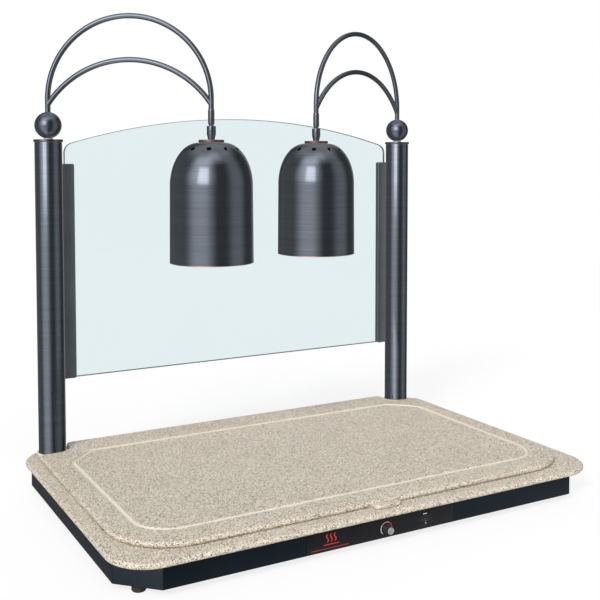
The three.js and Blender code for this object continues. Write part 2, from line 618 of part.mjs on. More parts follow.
function addGuard() {
  add(root, "glass_guard", glassPanel(), MATERIAL.glass);
  for (const [side, turn] of [["right", 0], ["left", Math.PI]]) {
    const place = (geometry) => geometry.translate(0, -GLASS.y, 0).rotateZ(turn).translate(0, GLASS.y, 0);
    add(root, `glass_channel_${side}`, place(glassChannel()), MATERIAL.blackSteel);
    add(root, `glass_gasket_${side}`, place(glassGasket()), MATERIAL.rubber);
  }
}

function addArmAndLamp(side, sign) {
  const arm = new THREE.Group();
  arm.position.set(sign * POST.x, POST.y, 0);
  arm.rotation.z = THREE.MathUtils.degToRad(ARM_TURN[side]);
  root.add(arm);
  add(arm, `swivel_stem_${side}`, swivelStem(), MATERIAL.steel);
  add(arm, `swivel_washer_${side}`, swivelWasher(), MATERIAL.seal);
  add(arm, `ball_${side}`, ball(), MATERIAL.bronze);
  add(arm, `outer_arch_${side}`, outerArch(), MATERIAL.bronze);
  add(arm, `inner_arch_${side}`, innerArch(), MATERIAL.bronze);
  const lamp = new THREE.Group();
  lamp.position.x = ARM.span;
  arm.add(lamp);
  add(lamp, `arm_sleeve_${side}`, sleeve(), MATERIAL.bronze);
  add(lamp, `knuckle_collar_${side}`, collar(), MATERIAL.bronze);
  add(lamp, `knuckle_ball_${side}`, knuckle(), MATERIAL.bronze);
  add(lamp, `shade_disk_${side}`, disk(), MATERIAL.copper);
  add(lamp, `lamp_shade_${side}`, shade(side), MATERIAL.bronze);
  add(lamp, `lamp_socket_${side}`, lampSocket(), MATERIAL.porcelain);
  add(lamp, `heat_bulb_${side}`, bulb(), MATERIAL.bulb);
}

addBase();
addControls();
addGuard();
for (const [side, sign] of [["left", -1], ["right", 1]]) {
  addPost(side, sign);
  addArmAndLamp(side, sign);
}

export default root;
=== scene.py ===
"""Looks of the heated carving station: a stone base with a loose cutting board, two posts, a glass guard
and two bell heat lamps on double-arch arms. Metres, in the CAD frame."""

import json
import math

import bmesh
import bpy
from mathutils import Matrix, Vector


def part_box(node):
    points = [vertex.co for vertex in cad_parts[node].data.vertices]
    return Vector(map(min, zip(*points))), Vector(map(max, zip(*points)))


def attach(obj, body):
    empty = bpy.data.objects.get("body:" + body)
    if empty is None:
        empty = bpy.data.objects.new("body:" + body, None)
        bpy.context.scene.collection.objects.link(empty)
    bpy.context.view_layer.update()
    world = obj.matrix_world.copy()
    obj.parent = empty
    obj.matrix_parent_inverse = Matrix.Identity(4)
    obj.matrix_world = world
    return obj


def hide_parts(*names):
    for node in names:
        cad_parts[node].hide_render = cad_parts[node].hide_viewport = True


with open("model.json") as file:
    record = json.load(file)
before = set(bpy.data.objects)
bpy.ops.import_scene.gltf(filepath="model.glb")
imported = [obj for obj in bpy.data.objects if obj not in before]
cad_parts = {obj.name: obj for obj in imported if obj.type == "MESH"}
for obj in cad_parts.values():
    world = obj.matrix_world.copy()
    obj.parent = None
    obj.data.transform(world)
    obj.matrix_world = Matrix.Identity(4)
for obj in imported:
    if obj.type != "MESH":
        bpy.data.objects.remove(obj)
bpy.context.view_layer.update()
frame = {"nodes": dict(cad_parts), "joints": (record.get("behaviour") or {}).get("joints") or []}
MM = 0.001
SIDES = ("left", "right")
JOINTS = {joint["name"]: joint for joint in frame["joints"]}


# ---- meshes --------------------------------------------------------------------------------------
def finish_mesh(name, bm, materials, body, nodes=(), angle=32):
    """Turns a bmesh into a smooth-shaded piece that rides on a body and stands for CAD nodes."""
    bmesh.ops.recalc_face_normals(bm, faces=bm.faces)
    mesh = bpy.data.meshes.new(name)
    bm.to_mesh(mesh)
    bm.free()
    for polygon in mesh.polygons:
        polygon.use_smooth = True
    mesh.set_sharp_from_angle(angle=math.radians(angle))
    for item in materials:
        mesh.materials.append(item)
    obj = bpy.data.objects.new(name, mesh)
    bpy.context.scene.collection.objects.link(obj)
    obj.visible_glossy = body is None  # the metals mirror the studio, not their neighbours
    if body:
        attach(obj, body)
        if nodes:
            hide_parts(*nodes)
    return obj


def arc(cx, cy, radius, start, sweep=90.0, steps=8):
    turn = [math.radians(start + sweep * i / steps) for i in range(steps + 1)]
    return [(cx + radius * math.cos(a), cy + radius * math.sin(a)) for a in turn]


def fillet(points, radius, steps=4, closed=False):
    """Rounds the corners of a 2-D polyline; radius is one number or one per point."""
    count = len(points)
    radii = radius if isinstance(radius, (list, tuple)) else [radius] * count
    out = []
    for i, point in enumerate(points):
        if not closed and i in (0, count - 1):
            out.append(tuple(point))
            continue
        here = Vector(point)
        before = Vector(points[i - 1]) - here
        after = Vector(points[(i + 1) % count]) - here
        corner = before.angle(after) if before.length > 1e-9 and after.length > 1e-9 else math.pi
        if radii[i] <= 0 or corner > math.radians(176):
            out.append(tuple(point))
            continue
        reach = min(radii[i] / math.tan(corner / 2), 0.48 * before.length, 0.48 * after.length)
        a = here + before.normalized() * reach
        b = here + after.normalized() * reach
        for k in range(steps + 1):
            t = k / steps
            out.append(tuple(a * (1 - t) ** 2 + here * 2 * t * (1 - t) + b * t ** 2))
    return out


def offset(outline, distance):
    """An anticlockwise outline moved inwards by distance, corner by corner."""
    out = []
    count = len(outline)
    for i in range(count):
        p = Vector(outline[i])
        d1 = (p - Vector(outline[i - 1])).normalized()
        d2 = (Vector(outline[(i + 1) % count]) - p).normalized()
        n1 = Vector((-d1.y, d1.x))
        n2 = Vector((-d2.y, d2.x))
        n = (n1 + n2).normalized()
        out.append(tuple(p + n * (distance / max(0.3, n.dot(n1)))))
    return out


def add_loop(bm, points):
    return [bm.verts.new(point) for point in points]


def skin(bm, loops, closed=True, material=None):
    """Quads between successive loops of the same length."""
    for k in range(len(loops) - 1):
        low, high = loops[k], loops[k + 1]
        count = len(low)
        for i in range(count if closed else count - 1):
            j = (i + 1) % count
            face = bm.faces.new((low[i], low[j], high[j], high[i]))
            if material is not None:
                face.material_index = material[k] if isinstance(material, (list, tuple)) else material


def fill(bm, *rims, material=0):
    """A flat face between an outer rim and any rims inside it."""
    edges = []
    for rim in rims:
        for i in range(len(rim)):
            pair = (rim[i], rim[(i + 1) % len(rim)])
            edges.append(bm.edges.get(pair) or bm.edges.new(pair))
    made = bmesh.ops.triangle_fill(bm, use_beauty=True, use_dissolve=False, edges=edges)
    for item in made["geom"]:
        if isinstance(item, bmesh.types.BMFace):
            item.material_index = material


def lathe(bm, profile, centre=(0.0, 0.0), segments=64, closed=False, spans=None):
    """Turns (radius, z) points in millimetres about the vertical through centre (metres)."""
    rings = []
    for r, z in profile:
        if r < 1e-6:
            rings.append([bm.verts.new((centre[0], centre[1], z * MM))])
            continue
        turn = [2 * math.pi * i / segments for i in range(segments)]
        rings.append(add_loop(bm, [
            (centre[0] + r * MM * math.cos(a), centre[1] + r * MM * math.sin(a), z * MM) for a in turn]))
    pairs = len(rings) if closed else len(rings) - 1
    for k in range(pairs):
        low, high = rings[k], rings[(k + 1) % len(rings)]
        if len(low) == 1 and len(high) == 1:
            continue
        for i in range(segments):
            j = (i + 1) % segments
            if len(low) == 1:
                face = bm.faces.new((low[0], high[j], high[i]))
            elif len(high) == 1:
                face = bm.faces.new((low[i], low[j], high[0]))
            else:
                face = bm.faces.new((low[i], low[j], high[j], high[i]))
            if spans:
                face.material_index = spans(profile[k], profile[(k + 1) % len(profile)])
    return rings


def turned_piece(node, profile, materials, body, slot, centre=(0.0, 0.0), segments=64, **how):
    """A lathed piece that stands for one CAD node and is named after it."""
    bm = bmesh.new()
    lathe(bm, profile, centre, segments, **how)
    return finish_mesh(f"{node}_piece", bm, materials, body, [node])


def ring_profile(inner, outer, z0, z1):
    """A ring's section, round to where it started."""
    return [(inner, z0), (outer, z0), (outer, z1), (inner, z1), (inner, z0)]


def heights(node):
    """A CAD node's lowest and highest points in millimetres."""
    low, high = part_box(node)
    return low.z * 1000, high.z * 1000


def middle(node):
    low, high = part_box(node)
    return (low + high) / 2


def turn_about(bm, x, y, z):
    """Stands a lathed piece, made about the origin, with its axis along +Y at (x, y, z)."""
    matrix = Matrix.Translation((x, y, z)) @ Matrix.Rotation(-math.pi / 2, 4, "X")
    bmesh.ops.transform(bm, matrix=matrix, verts=bm.verts)


def tube(bm, path, radius, sides=20):
    """A round bar along a path that lies in one upright plane, with flat ends."""
    across = (path[-1] - path[0]).cross(Vector((0, 0, 1))).normalized()
    loops = []
    for i, point in enumerate(path):
        ahead = path[min(i + 1, len(path) - 1)] - path[max(i - 1, 0)]
        normal = across.cross(ahead.normalized())
        turn = [2 * math.pi * k / sides for k in range(sides)]
        loops.append(add_loop(bm, [
            point + (across * math.cos(a) + normal * math.sin(a)) * radius for a in turn]))
    skin(bm, loops)
    bm.faces.new(loops[0])
    bm.faces.new(list(reversed(loops[-1])))


def slab_solid(bm, outline, levels, to_3d, holes=(), material=(0, 0)):
    """A plate from an outline inset and levels [(inset, height)], pierced by holes of constant size."""
    loops = [add_loop(bm, [to_3d(x, y, h) for x, y in offset(outline, inset)]) for inset, h in levels]
    skin(bm, loops, material=material[1])
    first, last = levels[0][1], levels[-1][1]
    low = [add_loop(bm, [to_3d(x, y, first) for x, y in hole]) for hole in holes]
    high = [add_loop(bm, [to_3d(x, y, last) for x, y in hole]) for hole in holes]
    for a, b in zip(low, high):
        skin(bm, [a, b], material=material[1])
    fill(bm, loops[0], *low, material=material[0])
    fill(bm, loops[-1], *high, material=material[0])


def plate_piece(name, outline, levels, to_3d, materials, body, nodes=(), slot=None, **how):
    """A plate as a piece of its own."""
    bm = bmesh.new()
    slab_solid(bm, outline, levels, to_3d, **how)
    return finish_mesh(name, bm, materials, body, nodes)


def round_edge(radius, low, high, steps=3):
    """Levels for a plate whose two rims are rounded over by radius."""
    turn = [math.pi / 2 * i / steps for i in range(steps + 1)]
    start = [(radius * (1 - math.sin(a)), low + radius * (1 - math.cos(a))) for a in turn]
    return start + [(inset, high - (h - low)) for inset, h in reversed(start)]


def bull_nose(low, high, steps=12):
    """Levels for a plate whose edge is half round."""
    nose = (high - low) / 2
    turn = [math.radians(-90 + 180 * i / steps) for i in range(steps + 1)]
    return [(nose * (1 - math.cos(a)), low + nose + nose * math.sin(a)) for a in turn]


def flat(x, y, h):
    return (x, y, h)


def upright(x, z, y):
    return (x, y, z)


def box_outline(x0, x1, y0, y1, radius, steps=6):
    return fillet([(x0, y0), (x1, y0), (x1, y1), (x0, y1)], radius, steps, closed=True)


def box_about(centre, half_x, half_z, radius, steps=3):
    """A rounded rectangle in X and Z about a point."""
    x, z = centre.x, centre.z
    return box_outline(x - half_x, x + half_x, z - half_z, z + half_z, radius, steps)


def circle(cx, cy, radius, steps=40):
    return arc(cx, cy, radius, 0, 360, steps)[:-1]


def cut_with(obj, *tools):
    """Cuts each tool's solid out of obj and removes the tool."""
    for tool in tools:
        modifier = obj.modifiers.new("cut", "BOOLEAN")
        modifier.operation = "DIFFERENCE"
        modifier.solver = "EXACT"
        modifier.object = tool
    bpy.context.view_layer.update()
    graph = bpy.context.evaluated_depsgraph_get()
    mesh = bpy.data.meshes.new_from_object(obj.evaluated_get(graph))
    obj.modifiers.clear()
    old = obj.data
    obj.data = mesh
    mesh.name = old.name
    for tool in tools:
        bpy.data.objects.remove(tool)
    return obj


def tool_solid(bm):
    bmesh.ops.recalc_face_normals(bm, faces=bm.faces)
    mesh = bpy.data.meshes.new("tool")
    bm.to_mesh(mesh)
    bm.free()
    obj = bpy.data.objects.new("tool", mesh)
    bpy.context.scene.collection.objects.link(obj)
    return obj


def box_tool(low, high):
    bm = bmesh.new()
    matrix = Matrix.Translation((Vector(low) + Vector(high)) / 2)
    size = Vector(high) - Vector(low)
    bmesh.ops.create_cube(bm, size=1.0, matrix=matrix @ Matrix.Diagonal((*size, 1.0)))
    return tool_solid(bm)


# ---- materials -----------------------------------------------------------------------------------
class Shader:
    """A principled material and short calls that add nodes to it."""

    def __init__(self, name, **sockets):
        self.material = bpy.data.materials.new(name)
        self.material.use_nodes = True
        self.tree = self.material.node_tree
        self.bsdf = self.tree.nodes["Principled BSDF"]
        for key, value in sockets.items():
            self.bsdf.inputs[key.replace("_", " ")].default_value = value

    def node(self, kind, **settings):
        made = self.tree.nodes.new(kind)
        for key, value in settings.items():
            setattr(made, key, value)
        return made

    def link(self, a, b):
        self.tree.links.new(a, b)

    def place(self, scale=(1.0, 1.0, 1.0)):
        """Object coordinates in metres, stretched by scale."""
        coords = self.node("ShaderNodeTexCoord")
        mapping = self.node("ShaderNodeMapping")
        mapping.inputs["Scale"].default_value = scale
        self.link(coords.outputs["Object"], mapping.inputs["Vector"])
        return mapping.outputs["Vector"]

    def noise(self, vector, scale, detail=3.0, roughness=0.5):
        made = self.node("ShaderNodeTexNoise")
        made.inputs["Scale"].default_value = scale
        made.inputs["Detail"].default_value = detail
        made.inputs["Roughness"].default_value = roughness
        self.link(vector, made.inputs["Vector"])
        return made.outputs["Fac"]

    def specks(self, vector, scale, low, high):
        """1 inside scattered grains and 0 outside: low and high bound a random number per cell."""
        made = self.node("ShaderNodeTexVoronoi")
        made.inputs["Scale"].default_value = scale
        self.link(vector, made.inputs["Vector"])
        split = self.node("ShaderNodeSeparateColor")
        self.link(made.outputs["Color"], split.inputs["Color"])
        edges = [(low, 0.0), (low + 0.001, 1.0), (high, 1.0), (high + 0.001, 0.0)]
        chosen = self.ramp(split.outputs["Red"], edges)
        size = self.ramp(made.outputs["Distance"], [(0.0, 1.0), (0.42, 1.0), (0.62, 0.0)])
        return self.math("MULTIPLY", chosen, size)

    def math(self, operation, a, b=None):
        made = self.node("ShaderNodeMath", operation=operation)
        for slot, value in zip(made.inputs, (a, b)):
            if isinstance(value, (int, float)):
                slot.default_value = value
            elif value is not None:
                self.link(value, slot)
        return made.outputs["Value"]

    def ramp(self, factor, stops):
        made = self.node("ShaderNodeValToRGB")
        ramp = made.color_ramp
        while len(ramp.elements) < len(stops):
            ramp.elements.new(0.5)
        for element, (position, value) in zip(ramp.elements, stops):
            element.position = position
            element.color = (*value, 1.0) if isinstance(value, tuple) else (value, value, value, 1.0)
        self.link(factor, made.inputs["Fac"])
        return made.outputs["Color"]

    def mix(self, factor, a, b):
        made = self.node("ShaderNodeMix", data_type="RGBA")
        for socket, value in (("Factor", factor), ("A", a), ("B", b)):
            slot = next(s for s in made.inputs if s.name == socket and s.enabled)
            if isinstance(value, tuple):
                slot.default_value = (*value, 1.0)
            elif isinstance(value, (int, float)):
                slot.default_value = value
            else:
                self.link(value, slot)
        return next(s for s in made.outputs if s.enabled)

    def bump(self, height, strength, distance):
        made = self.node("ShaderNodeBump")
        made.inputs["Strength"].default_value = strength
        made.inputs["Distance"].default_value = distance
        self.link(height, made.inputs["Height"])
        self.link(made.outputs["Normal"], self.bsdf.inputs["Normal"])

    def colour(self, output):
        self.link(output, self.bsdf.inputs["Base Color"])
        return self

    def rough(self, output):
        self.link(output, self.bsdf.inputs["Roughness"])
        return self


def metal(name, base, light, rough=(0.11, 0.15), hair=(7.0, 900.0), wear=(0.34, 0.33, 0.33)):
    """Lacquered metal: hair lines round the piece where hair is stretched, clouding and small scuffs."""
    s = Shader(name, Metallic=1.0)
    level, upright_scale = hair
    fine = s.noise(s.place((level, level, upright_scale)), 1.0, 3.0, 0.75)
    broad = s.noise(s.place((level / 3, level / 3, upright_scale / 4)), 1.0, 2.0)
    lines = s.math("ADD", s.math("MULTIPLY", fine, 0.6), s.math("MULTIPLY", broad, 0.4))
    tone = s.mix(s.ramp(lines, [(0.38, 0.0), (0.62, 1.0)]), base, light)
    scuff = s.specks(s.place(), 160.0, 0.0, 0.02)
    s.colour(s.mix(s.math("MULTIPLY", scuff, 0.10), tone, wear))
    s.rough(s.ramp(lines, [(0.3, rough[0]), (0.7, rough[1])]))
    s.bump(broad, 0.02, 0.0001)
    return s.material


def stone(name):
    """Cast stone: a warm body with cream, tan, grey and dark brown grains of about two millimetres."""
    s = Shader(name)
    s.bsdf.inputs["Specular IOR Level"].default_value = 0.3
    where = s.place()
    body = s.mix(s.ramp(s.noise(where, 14.0, 3.0), [(0.3, 0.0), (0.7, 1.0)]), STONE_BODY[0], STONE_BODY[1])
    grain = s.noise(where, 900.0, 2.0, 0.8)
    body = s.mix(s.ramp(grain, [(0.40, 1.0), (0.46, 0.0)]), body, (0.17, 0.125, 0.085))
    body = s.mix(s.ramp(grain, [(0.55, 0.0), (0.62, 0.8)]), body, (0.88, 0.81, 0.69))
    for scale, low, high, shade, strength in GRAINS:
        body = s.mix(s.math("MULTIPLY", s.specks(where, scale, low, high), strength), body, shade)
    s.colour(body)
    s.rough(s.ramp(s.noise(where, 30.0, 2.0), [(0.3, 0.40), (0.7, 0.52)]))
    s.bump(s.noise(where, 700.0, 2.0), 0.03, 0.0001)
    return s.material


def powder_coat(name, base=(0.0008, 0.0026, 0.0042), light=(0.0016, 0.0048, 0.0075), rough=(0.3, 0.4)):
    s = Shader(name)
    s.bsdf.inputs["Specular IOR Level"].default_value = 0.55
    s.bsdf.inputs["Specular Tint"].default_value = (0.66, 0.86, 1.0, 1.0)
    where = s.place()
    s.colour(s.mix(s.noise(where, 22.0, 3.0), base, light))
    s.rough(s.ramp(s.noise(where, 9.0, 3.0), [(0.3, rough[0]), (0.7, rough[1])]))
    s.bump(s.noise(where, 1400.0, 2.0, 0.6), 0.25, 0.0002)
    return s.material


def moulded(name, base, light, rough=(0.28, 0.4), grain=2600.0, gloss=0.5):
    s = Shader(name, Specular_IOR_Level=gloss)
    where = s.place()
    s.colour(s.mix(s.noise(where, 120.0, 3.0), base, light))
    s.rough(s.ramp(s.noise(where, 60.0, 2.0), [(0.3, rough[0]), (0.7, rough[1])]))
    s.bump(s.noise(where, grain, 2.0), 0.15, 0.0001)
    return s.material


def print_ink(name, shade):
    s = Shader(name, Roughness=0.4)
    s.colour(s.mix(s.noise(s.place(), 300.0, 2.0), tuple(c * 0.9 for c in shade), shade))
    return s.material


def clear_glass(name, tint):
    """A thin pane: what is behind it shows through, tinted once by each face, under a faint gloss."""
    s = Shader(name, Roughness=0.05)
    smear = s.noise(s.place(), 7.0, 3.0)
    through = s.node("ShaderNodeBsdfTransparent")
    s.link(s.mix(smear, tint, tuple(min(1.0, c * 1.006) for c in tint)), through.inputs["Color"])
    gloss = s.node("ShaderNodeBsdfGlossy")
    gloss.inputs["Color"].default_value = (0.9, 0.95, 1.0, 1.0)
    s.link(s.ramp(smear, [(0.3, 0.02), (0.8, 0.08)]), gloss.inputs["Roughness"])
    facing = s.node("ShaderNodeLayerWeight")
    facing.inputs["Blend"].default_value = 0.12
    join = s.node("ShaderNodeMixShader")
    s.link(facing.outputs["Fresnel"], join.inputs[0])
    s.link(through.outputs[0], join.inputs[1])
    s.link(gloss.outputs[0], join.inputs[2])
    s.link(join.outputs[0], s.tree.nodes["Material Output"].inputs["Surface"])
    return s.material


STONE_BODY = ((0.645, 0.572, 0.475), (0.705, 0.632, 0.53))
# Grains of the stone: cells per metre, the share of cells from and to, colour and strength.
GRAINS = (
    (640.0, 0.00, 0.20, (0.92, 0.85, 0.73), 0.9),
    (560.0, 0.22, 0.34, (0.24, 0.185, 0.13), 0.95),
    (620.0, 0.40, 0.54, (0.03, 0.021, 0.014), 1.0),
    (460.0, 0.60, 0.65, (0.04, 0.028, 0.019), 1.0),
)
SMOOTH = (10.0, 14.0)  # hair lines with no direction
BRONZE = metal("bronze_brushed", (0.166, 0.196, 0.222), (0.206, 0.242, 0.272))
BRONZE_TUBE = metal("bronze_tube", (0.165, 0.19, 0.22), (0.19, 0.22, 0.25), (0.16, 0.2), SMOOTH)
BRONZE_BALL = metal("bronze_ball", (0.15, 0.175, 0.215), (0.19, 0.22, 0.265), (0.19, 0.24), (60.0, 260.0))
CHANNEL_COAT = metal("channel_bronze", (0.24, 0.285, 0.30), (0.28, 0.33, 0.345), (0.3, 0.38), SMOOTH)
COPPER = metal("copper_dull", (0.22, 0.13, 0.112), (0.29, 0.18, 0.155), (0.38, 0.48), SMOOTH)
COPPER_EDGE = metal("copper_edge", (0.62, 0.30, 0.23), (0.80, 0.42, 0.33), (0.3, 0.4), SMOOTH)
BRIGHT = metal("bright_cap", (0.80, 0.80, 0.82), (0.92, 0.92, 0.93), (0.45, 0.55), SMOOTH)
STEEL = metal("satin_steel", (0.52, 0.52, 0.53), (0.66, 0.66, 0.67), (0.25, 0.4), SMOOTH)
FOIL = metal("heater_foil", (0.6, 0.6, 0.6), (0.75, 0.75, 0.75), (0.3, 0.5), SMOOTH)
STONE = stone("speckled_stone")
# Lighter stone for the groove's walls: partly paler cut stone, partly a painted highlight for the lit groove
# wall.
STONE_CUT_AND_HIGHLIGHT = moulded("stone_cut_and_highlight", (0.62, 0.565, 0.475), (0.78, 0.725, 0.625), (0.4, 0.5), 500.0)
CREAM = moulded("cream_trim", (0.62, 0.56, 0.46), (0.72, 0.66, 0.56), (0.4, 0.55), 900.0)
COAT = powder_coat("black_powder_coat")
RUBBER = moulded("black_rubber", (0.012, 0.012, 0.012), (0.03, 0.03, 0.03), (0.6, 0.8), 1500.0)
PLASTIC = moulded("black_plastic", (0.006, 0.006, 0.007), (0.012, 0.012, 0.014))
OVERLAY = moulded("panel_overlay", (0.003, 0.003, 0.004), (0.005, 0.006, 0.008), (0.12, 0.2), 500.0)
PORCELAIN = moulded("porcelain", (0.78, 0.76, 0.72), (0.88, 0.87, 0.83), (0.2, 0.3), 400.0)
# Near-black inside of the bell and its vent walls: painted shade for the dark inside of the lamp.
BELL_INSIDE_PAINTED_SHADE = moulded("bell_inside_painted_shade", (0.004, 0.004, 0.005), (0.008, 0.008, 0.009), (0.7, 0.8), 600.0, 0.1)
# Near-black socket: painted shade for the dark inside of the lamp.
SOCKET_PAINTED_SHADE = moulded("socket_painted_shade", (0.014, 0.011, 0.009), (0.022, 0.017, 0.014), (0.6, 0.7), gloss=0.1)
# Near-black upper bulb: painted shade for the dark inside of the lamp.
BULB_PAINTED_SHADE = moulded("bulb_painted_shade", (0.012, 0.012, 0.012), (0.022, 0.022, 0.022), (0.6, 0.7), gloss=0.1)
BULB_GLASS = moulded("bulb_frost", (0.80, 0.74, 0.66), (0.9, 0.86, 0.78), (0.25, 0.35), 1200.0)
WOOL = moulded("lagging_wool", (0.5, 0.42, 0.2), (0.66, 0.58, 0.33), (0.85, 0.95), 500.0)
GLASS = clear_glass("guard_glass", (0.876, 0.925, 0.937))
GLASS_EDGE = moulded("guard_glass_edge", (0.22, 0.29, 0.28), (0.30, 0.38, 0.37), (0.2, 0.3), 200.0)
INK_RED = print_ink("ink_red", (0.62, 0.03, 0.025))
INK_WHITE = print_ink("ink_white", (0.8, 0.8, 0.8))
INK_ROSE = print_ink("ink_rose", (0.72, 0.30, 0.27))


def dress(node, *materials):
    """A better material on a CAD node whose shape already serves."""
    slots = frame["nodes"][node].data.materials
    slots.clear()
    for item in materials:
        slots.append(item)


# ---- the base ------------------------------------------------------------------------------------
def mirrored(right):
    return right + [(-x, y) for x, y in reversed(right)]


def make_slab():
    low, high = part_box("stone_slab")
    corner = 0.070
    x = high.x - corner
    right = arc(x, low.y + corner, corner, -90, 90, 20) + arc(x, high.y - corner, corner, 0, 90, 20)
    levels = bull_nose(low.z, high.z)
    plate_piece("stone_slab_piece", mirrored(right), levels, flat, [STONE], "base", ["stone_slab"], "stone")


POST_X = -JOINTS["left_arm_swivel"]["pos_m"][0]
POST_Y = JOINTS["left_arm_swivel"]["pos_m"][1]


def board_outline(low, high):
    front = low.y + 0.015  # the tab reaches 15 mm further
    corner, small, notch = 0.107, 0.010, 0.0312
    right = (arc(high.x - corner, front + corner, corner, -90, 90, 24)
             + arc(high.x - 0.014, POST_Y - notch - 0.014, 0.014, 0, 90, 6)
             + arc(POST_X, POST_Y, notch, 270, -90, 12)
             + arc(POST_X - notch - small, high.y - small, small, 0, 90, 6))
    return mirrored(right)


def groove_outline(grow):
    x, front, rear = 0.3895 + grow, -0.223 - grow, 0.210 + grow
    corner, clip = 0.062 + grow, 0.051 + grow * (2 - math.sqrt(2))
    lead = 0.1  # straight run on each side of the clipped corner
    clipped = [(x, rear - clip - lead), (x, rear - clip), (x - clip, rear), (x - clip - lead, rear)]
    right = arc(x - corner, front + corner, corner, -90, 90, 16) + fillet(clipped, 0.012, 5)[1:-1]
    return mirrored(right)


def make_board():
    low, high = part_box("cutting_board")
    outline = board_outline(low, high)
    bm = bmesh.new()
    loops = [add_loop(bm, [(x, y, h) for x, y in offset(outline, inset)])
             for inset, h in bull_nose(low.z, high.z)]
    skin(bm, loops)
    fill(bm, loops[0])
    half, depth = 0.0048, 0.0045
    steps = [math.pi * i / 10 for i in range(11)]
    dips = [add_loop(bm, [(x, y, high.z - depth * math.sin(t))
                          for x, y in groove_outline(half * math.cos(t))]) for t in steps]
    # The groove's walls take the lighter stone, partly cut stone and partly painted highlight.
    skin(bm, dips, material=[1] * 9 + [0])
    fill(bm, loops[-1], dips[0])
    fill(bm, dips[-1])
    board = finish_mesh("cutting_board_piece", bm, [STONE, STONE_CUT_AND_HIGHLIGHT], "board", ["cutting_board"])
    board.data.set_sharp_from_angle(angle=math.radians(50))
    tab = (arc(0.015, low.y + 0.012, 0.012, -90, 90, 8) + [(0.027, low.y + 0.026), (-0.027, low.y + 0.026)]
           + arc(-0.014, low.y + 0.013, 0.013, 180, 90, 8))
    levels = round_edge(0.0025, low.z, low.z + 0.007, 4)
    plate_piece("finger_tab", tab, levels, flat, [STONE], "board", ["cutting_board"], "stone")


def housing_outline(low, high, inset=0.0, radius=0.004):
    clip = 0.056 - inset * (2 - math.sqrt(2))
    x, y0, y1 = high.x - inset, low.y + inset, high.y - inset
    right = [(x - clip, y0), (x, y0 + clip), (x, y1 - clip), (x - clip, y1)]
    return fillet(mirrored(right), max(radius - inset, 0.001), 4, closed=True)


def make_housing():
    low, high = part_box("base_housing")
    wall = 0.002
    bm = bmesh.new()
    outer = housing_outline(low, high)
    inner = housing_outline(low, high, wall)
    levels = [(0.0012, high.z), (0.0004, high.z - 0.0003), (0.0, high.z - 0.0012), (0.0, low.z + 0.0008),
              (0.0003, low.z + 0.0002), (0.0009, low.z)]
    loops = [add_loop(bm, [(x, y, h) for x, y in offset(outer, inset)]) for inset, h in levels]
    rim = [add_loop(bm, [(x, y, h) for x, y in inner]) for h in (low.z, high.z - wall)]
    skin(bm, loops + rim)
    fill(bm, loops[0])
    fill(bm, rim[-1])
    shell = finish_mesh("housing_shell", bm, [COAT], "base", ["base_housing"])
    knob, switch, gland = (middle(node) for node in ("control_knob", "switch_housing", "cable_gland"))
    openings = ((knob, low.y, 0.0052, 0.0052),
                (switch, low.y, 0.0119, 0.0066),
                (gland, high.y, 0.0072, 0.0072))
    tools = []
    for place, face, half_x, half_z in openings:
        reach = Vector((half_x, 0.01, half_z))
        hole = Vector((place.x, face, place.z))
        tools.append(box_tool(hole - reach, hole + reach))
    cut_with(shell, *tools)


def make_cover():
    """The bottom cover with a rounded rim and two rows of cooling slots."""
    low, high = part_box("bottom_cover")
    clip = 0.0547
    right = [(high.x - clip, low.y), (high.x, low.y + clip), (high.x, high.y - clip), (high.x - clip, high.y)]
    slots = [box_outline(x - 0.0015, x + 0.0015, y, y + 0.04, 0.0014, 3)
             for y in (-0.19, 0.15) for x in (-0.2 + 0.02 * i for i in range(21))]
    outline = fillet(mirrored(right), 0.002, 3, closed=True)
    plate_piece("bottom_cover_piece", outline, round_edge(0.0005, low.z, high.z, 2), flat,
                [COAT], "base", ["bottom_cover"], "black_steel", holes=slots)


def make_feet():
    profile = fillet([(0, 0), (9.6, 0), (11, 2.2), (10.4, 11.7), (0, 11.7)], [0, 1.2, 1.0, 0.6, 0], 4)
    for end in ("front", "rear"):
        for side in SIDES:
            node = f"foot_{end}_{side}"
            turned_piece(node, profile, [RUBBER], "base", "rubber", middle(node).xy, 48)


# ---- controls ------------------------------------------------------------------------------------
KNOB = JOINTS["thermostat_turn"]["pos_m"]
ROCKER = JOINTS["rocker_tilt"]


def ribbon(bm, points, width, y, raised=0.00012, material=0):
    """A printed line of that width along (x, z) points, standing slightly proud of the plate at y."""
    left, right = [], []
    for i, point in enumerate(points):
        ahead = Vector(points[min(i + 1, len(points) - 1)]) - Vector(points[max(i - 1, 0)])
        normal = Vector((-ahead.y, ahead.x)).normalized() * width / 2
        left.append(Vector(point) + normal)
        right.append(Vector(point) - normal)
    loops = []
    for shelf in (y, y - raised):
        loops.append([add_loop(bm, [(p.x, shelf, p.y) for p in edge]) for edge in (left, right)])
    (back_l, back_r), (front_l, front_r) = loops
    for a, b in ((front_l, front_r), (back_r, back_l), (front_r, back_r), (back_l, front_l)):
        skin(bm, [a, b], closed=False, material=material)
    for k in (0, -1):
        face = bm.faces.new((front_l[k], front_r[k], back_r[k], back_l[k]))
        face.material_index = material


